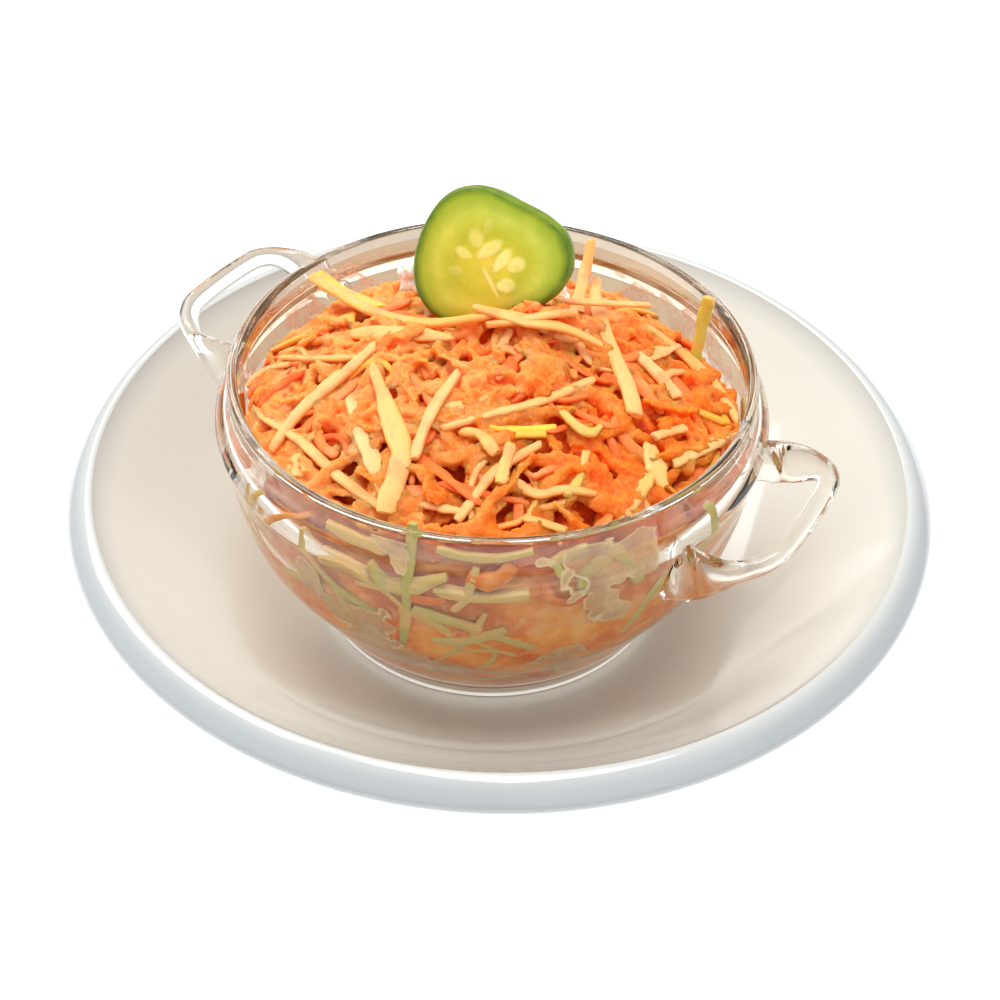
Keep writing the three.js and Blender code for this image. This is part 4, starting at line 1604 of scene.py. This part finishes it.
def makeFilm(name):
    f = films[name]
    low, high = filmMesh["heights"]
    outline = []
    for i in range(filmMesh["rows"] + 1):
        height = low + (high - low) * i / filmMesh["rows"]
        outline.append((wallRadius(height) + f["into"], height))
    sheet = turnOutline(name, outline, filmMesh["sides"], cupMiddle)
    pick(sheet)
    bpy.ops.object.mode_set(mode="EDIT")
    shape = bmesh.from_edit_mesh(sheet.data)
    cover = shape.verts.layers.float.new("cover")
    for vertex in shape.verts:
        vertex[cover] = coverAt(fromCup(vertex.co), f["spots"], f["uneven"])
    gone = []
    for face in shape.faces:
        if len(face.verts) > 4 or max(vertex[cover] for vertex in face.verts) < 0:
            gone.append(face)
    bmesh.ops.delete(shape, geom=gone, context="FACES")
    bmesh.update_edit_mesh(sheet.data)
    bpy.ops.mesh.select_all(action="SELECT")
    bpy.ops.mesh.normals_make_consistent(inside=False)
    bpy.ops.object.mode_set(mode="OBJECT")
    wall = sheet.modifiers.new("thick", "SOLIDIFY")
    wall.thickness = f["thickness"] * mm
    wall.offset = 0
    applyAll(sheet)
    smoothShade(sheet, 60)
    finishPiece(sheet, filmMaterial(name), "dressed_shreds")
    print(name, len(sheet.data.polygons), "faces")


for name in films:
    makeFilm(name)
print("dressing smeared")

# [right, back, up, radius] of the lumps of dressing behind the slice, in mm
dressingLumps = [(-17, 28, 2, 4.6), (-20, 26, 4.5, 2.6), (-14, 31, 0, 4), (14, 26, -2, 3)]


def makeDressing():
    material, tree, shader = newMaterial("whiteDressing")
    spot = objectPlace(tree)
    cloud = addNoise(tree, spot, 300, 3)
    colour = addRamp(tree, cloud, (0.3, (0.93, 0.89, 0.80)), (0.7, (0.98, 0.96, 0.91)))
    tree.links.new(colour, shader.inputs["Base Color"])
    addBump(tree, shader, addNoise(tree, spot, 500, 3), 0.3, 0.0004)
    shader.inputs["Roughness"].default_value = 0.35
    setGlow(shader, 0.3, (1, 0.2, 0.1), 0.003)
    blobs = []
    for x, y, z, radius in dressingLumps:
        deselect()
        bpy.ops.mesh.primitive_ico_sphere_add(subdivisions=4, radius=radius * mm)
        blob = bpy.context.object
        for vertex in blob.data.vertices:
            bump = 1 + 0.5 * noise.fractal(vertex.co * 260 + Vector((x, y, z)), 0.8, 2, 4)
            vertex.co = heldByWall(Vector(vertex.co) * bump + fromFront(x, y, z), 0)
        blobs.append(blob)
    piece = joinAll("whiteDressing", blobs)
    smoothShade(piece, 60)
    finishPiece(piece, material, "dressed_shreds")


makeDressing()
print("dressing dropped")

# the floor, the light and the camera
studio = {
    "floor": (0.93, 0.935, 0.94),
    "floorGlow": 0.4,
    "sky": (1.0, 1.0, 1.0),
    "horizon": (0.74, 0.725, 0.70),
    "skyStrength": 0.68,
    "backdrop": (0.95, 0.955, 0.96),
    "far": (0.52, 0.50, 0.46),
    "upper": (0.68, 0.67, 0.64),
    # each lamp's place is right, back and up of the saucer's middle in metres, seen from the front
    "key": {"at": (-0.44, 0.48, 0.88), "size": 0.8, "power": 8.2, "colour": (1.0, 0.995, 0.985)},
    "fill": {"at": (0.55, -0.75, 0.8), "size": 1.0, "power": 1.2, "colour": (0.97, 0.985, 1.0)},
    "top": {"at": (0.05, 0.05, 1.1), "size": 0.5, "power": 6.0, "colour": (1.0, 1.0, 1.0)},
    "lens": 50.33,
    "camera": (0.1301, -0.2137, 0.2547),
    "pitch": 42.75,
    "roll": 1.437,
}


def makeFloor():
    deselect()
    bpy.ops.mesh.primitive_plane_add(size=6, location=(0, 0, -0.0002))
    floor = bpy.context.object
    floor.name = "floor"
    material, _, shader = newMaterial("paleFloor")
    shader.inputs["Base Color"].default_value = (*studio["floor"], 1)
    shader.inputs["Roughness"].default_value = 0.7
    shader.inputs["Emission Color"].default_value = (1, 1, 1, 1)
    shader.inputs["Emission Strength"].default_value = studio["floorGlow"]
    floor.data.materials.append(material)


def makeLights():
    for name in ("key", "fill", "top"):
        lamp = studio[name]
        at = Vector(lamp["at"])
        at.rotate(Euler((0, 0, frontTurn)))
        deselect()
        bpy.ops.object.light_add(type="AREA", location=at)
        light = bpy.context.object
        light.name = name
        light.data.shape = "SQUARE"
        light.data.size = lamp["size"]
        light.data.energy = lamp["power"]
        light.data.color = lamp["colour"]
        aim = Vector((0, 0, 0.03)) - at
        light.rotation_euler = aim.to_track_quat("-Z", "Y").to_euler()
    world = bpy.data.worlds.new("studio")
    bpy.context.scene.world = world
    world.use_nodes = True
    tree = world.node_tree
    back = tree.nodes["Background"]
    height = addHeight(tree, addNode(tree, "ShaderNodeTexCoord").outputs["Generated"])
    sky = addRamp(tree, height, (0.0, studio["horizon"]), (0.35, studio["sky"]))
    tree.links.new(sky, back.inputs["Color"])
    back.inputs["Strength"].default_value = studio["skyStrength"]
    # seen directly, through the glass or in the glaze, it is a backdrop that gets paler upwards
    plain = addNode(tree, "ShaderNodeBackground", Strength=1.0)
    backdrop = addRamp(tree, height, (0.2, studio["far"]), (0.6, studio["upper"]), (0.85, studio["backdrop"]))
    tree.links.new(backdrop, plain.inputs["Color"])
    path = addNode(tree, "ShaderNodeLightPath")
    seen = path.outputs["Is Camera Ray"]
    for kind in ("Is Transmission Ray", "Is Glossy Ray"):
        seen = addMath(tree, "MAXIMUM", seen, path.outputs[kind])
    mix = addNode(tree, "ShaderNodeMixShader")
    tree.links.new(seen, mix.inputs[0])
    tree.links.new(back.outputs[0], mix.inputs[1])
    tree.links.new(plain.outputs[0], mix.inputs[2])
    tree.links.new(mix.outputs[0], tree.nodes["World Output"].inputs["Surface"])


def makeCamera():
    data = bpy.data.cameras.new("camera")
    camera = bpy.data.objects.new("camera", data)
    bpy.context.scene.collection.objects.link(camera)
    data.sensor_width = 36
    data.lens = studio["lens"]
    data.clip_start = 0.01
    tip = Euler((math.radians(90 - studio["pitch"]), 0, frontTurn)).to_matrix().to_4x4()
    roll = Matrix.Rotation(math.radians(studio["roll"]), 4, "Z")
    camera.matrix_world = Matrix.Translation(studio["camera"]) @ tip @ roll
    bpy.context.scene.camera = camera


makeFloor()
makeLights()
makeCamera()
bpy.context.scene.view_settings.view_transform = "Standard"
print("studio set")
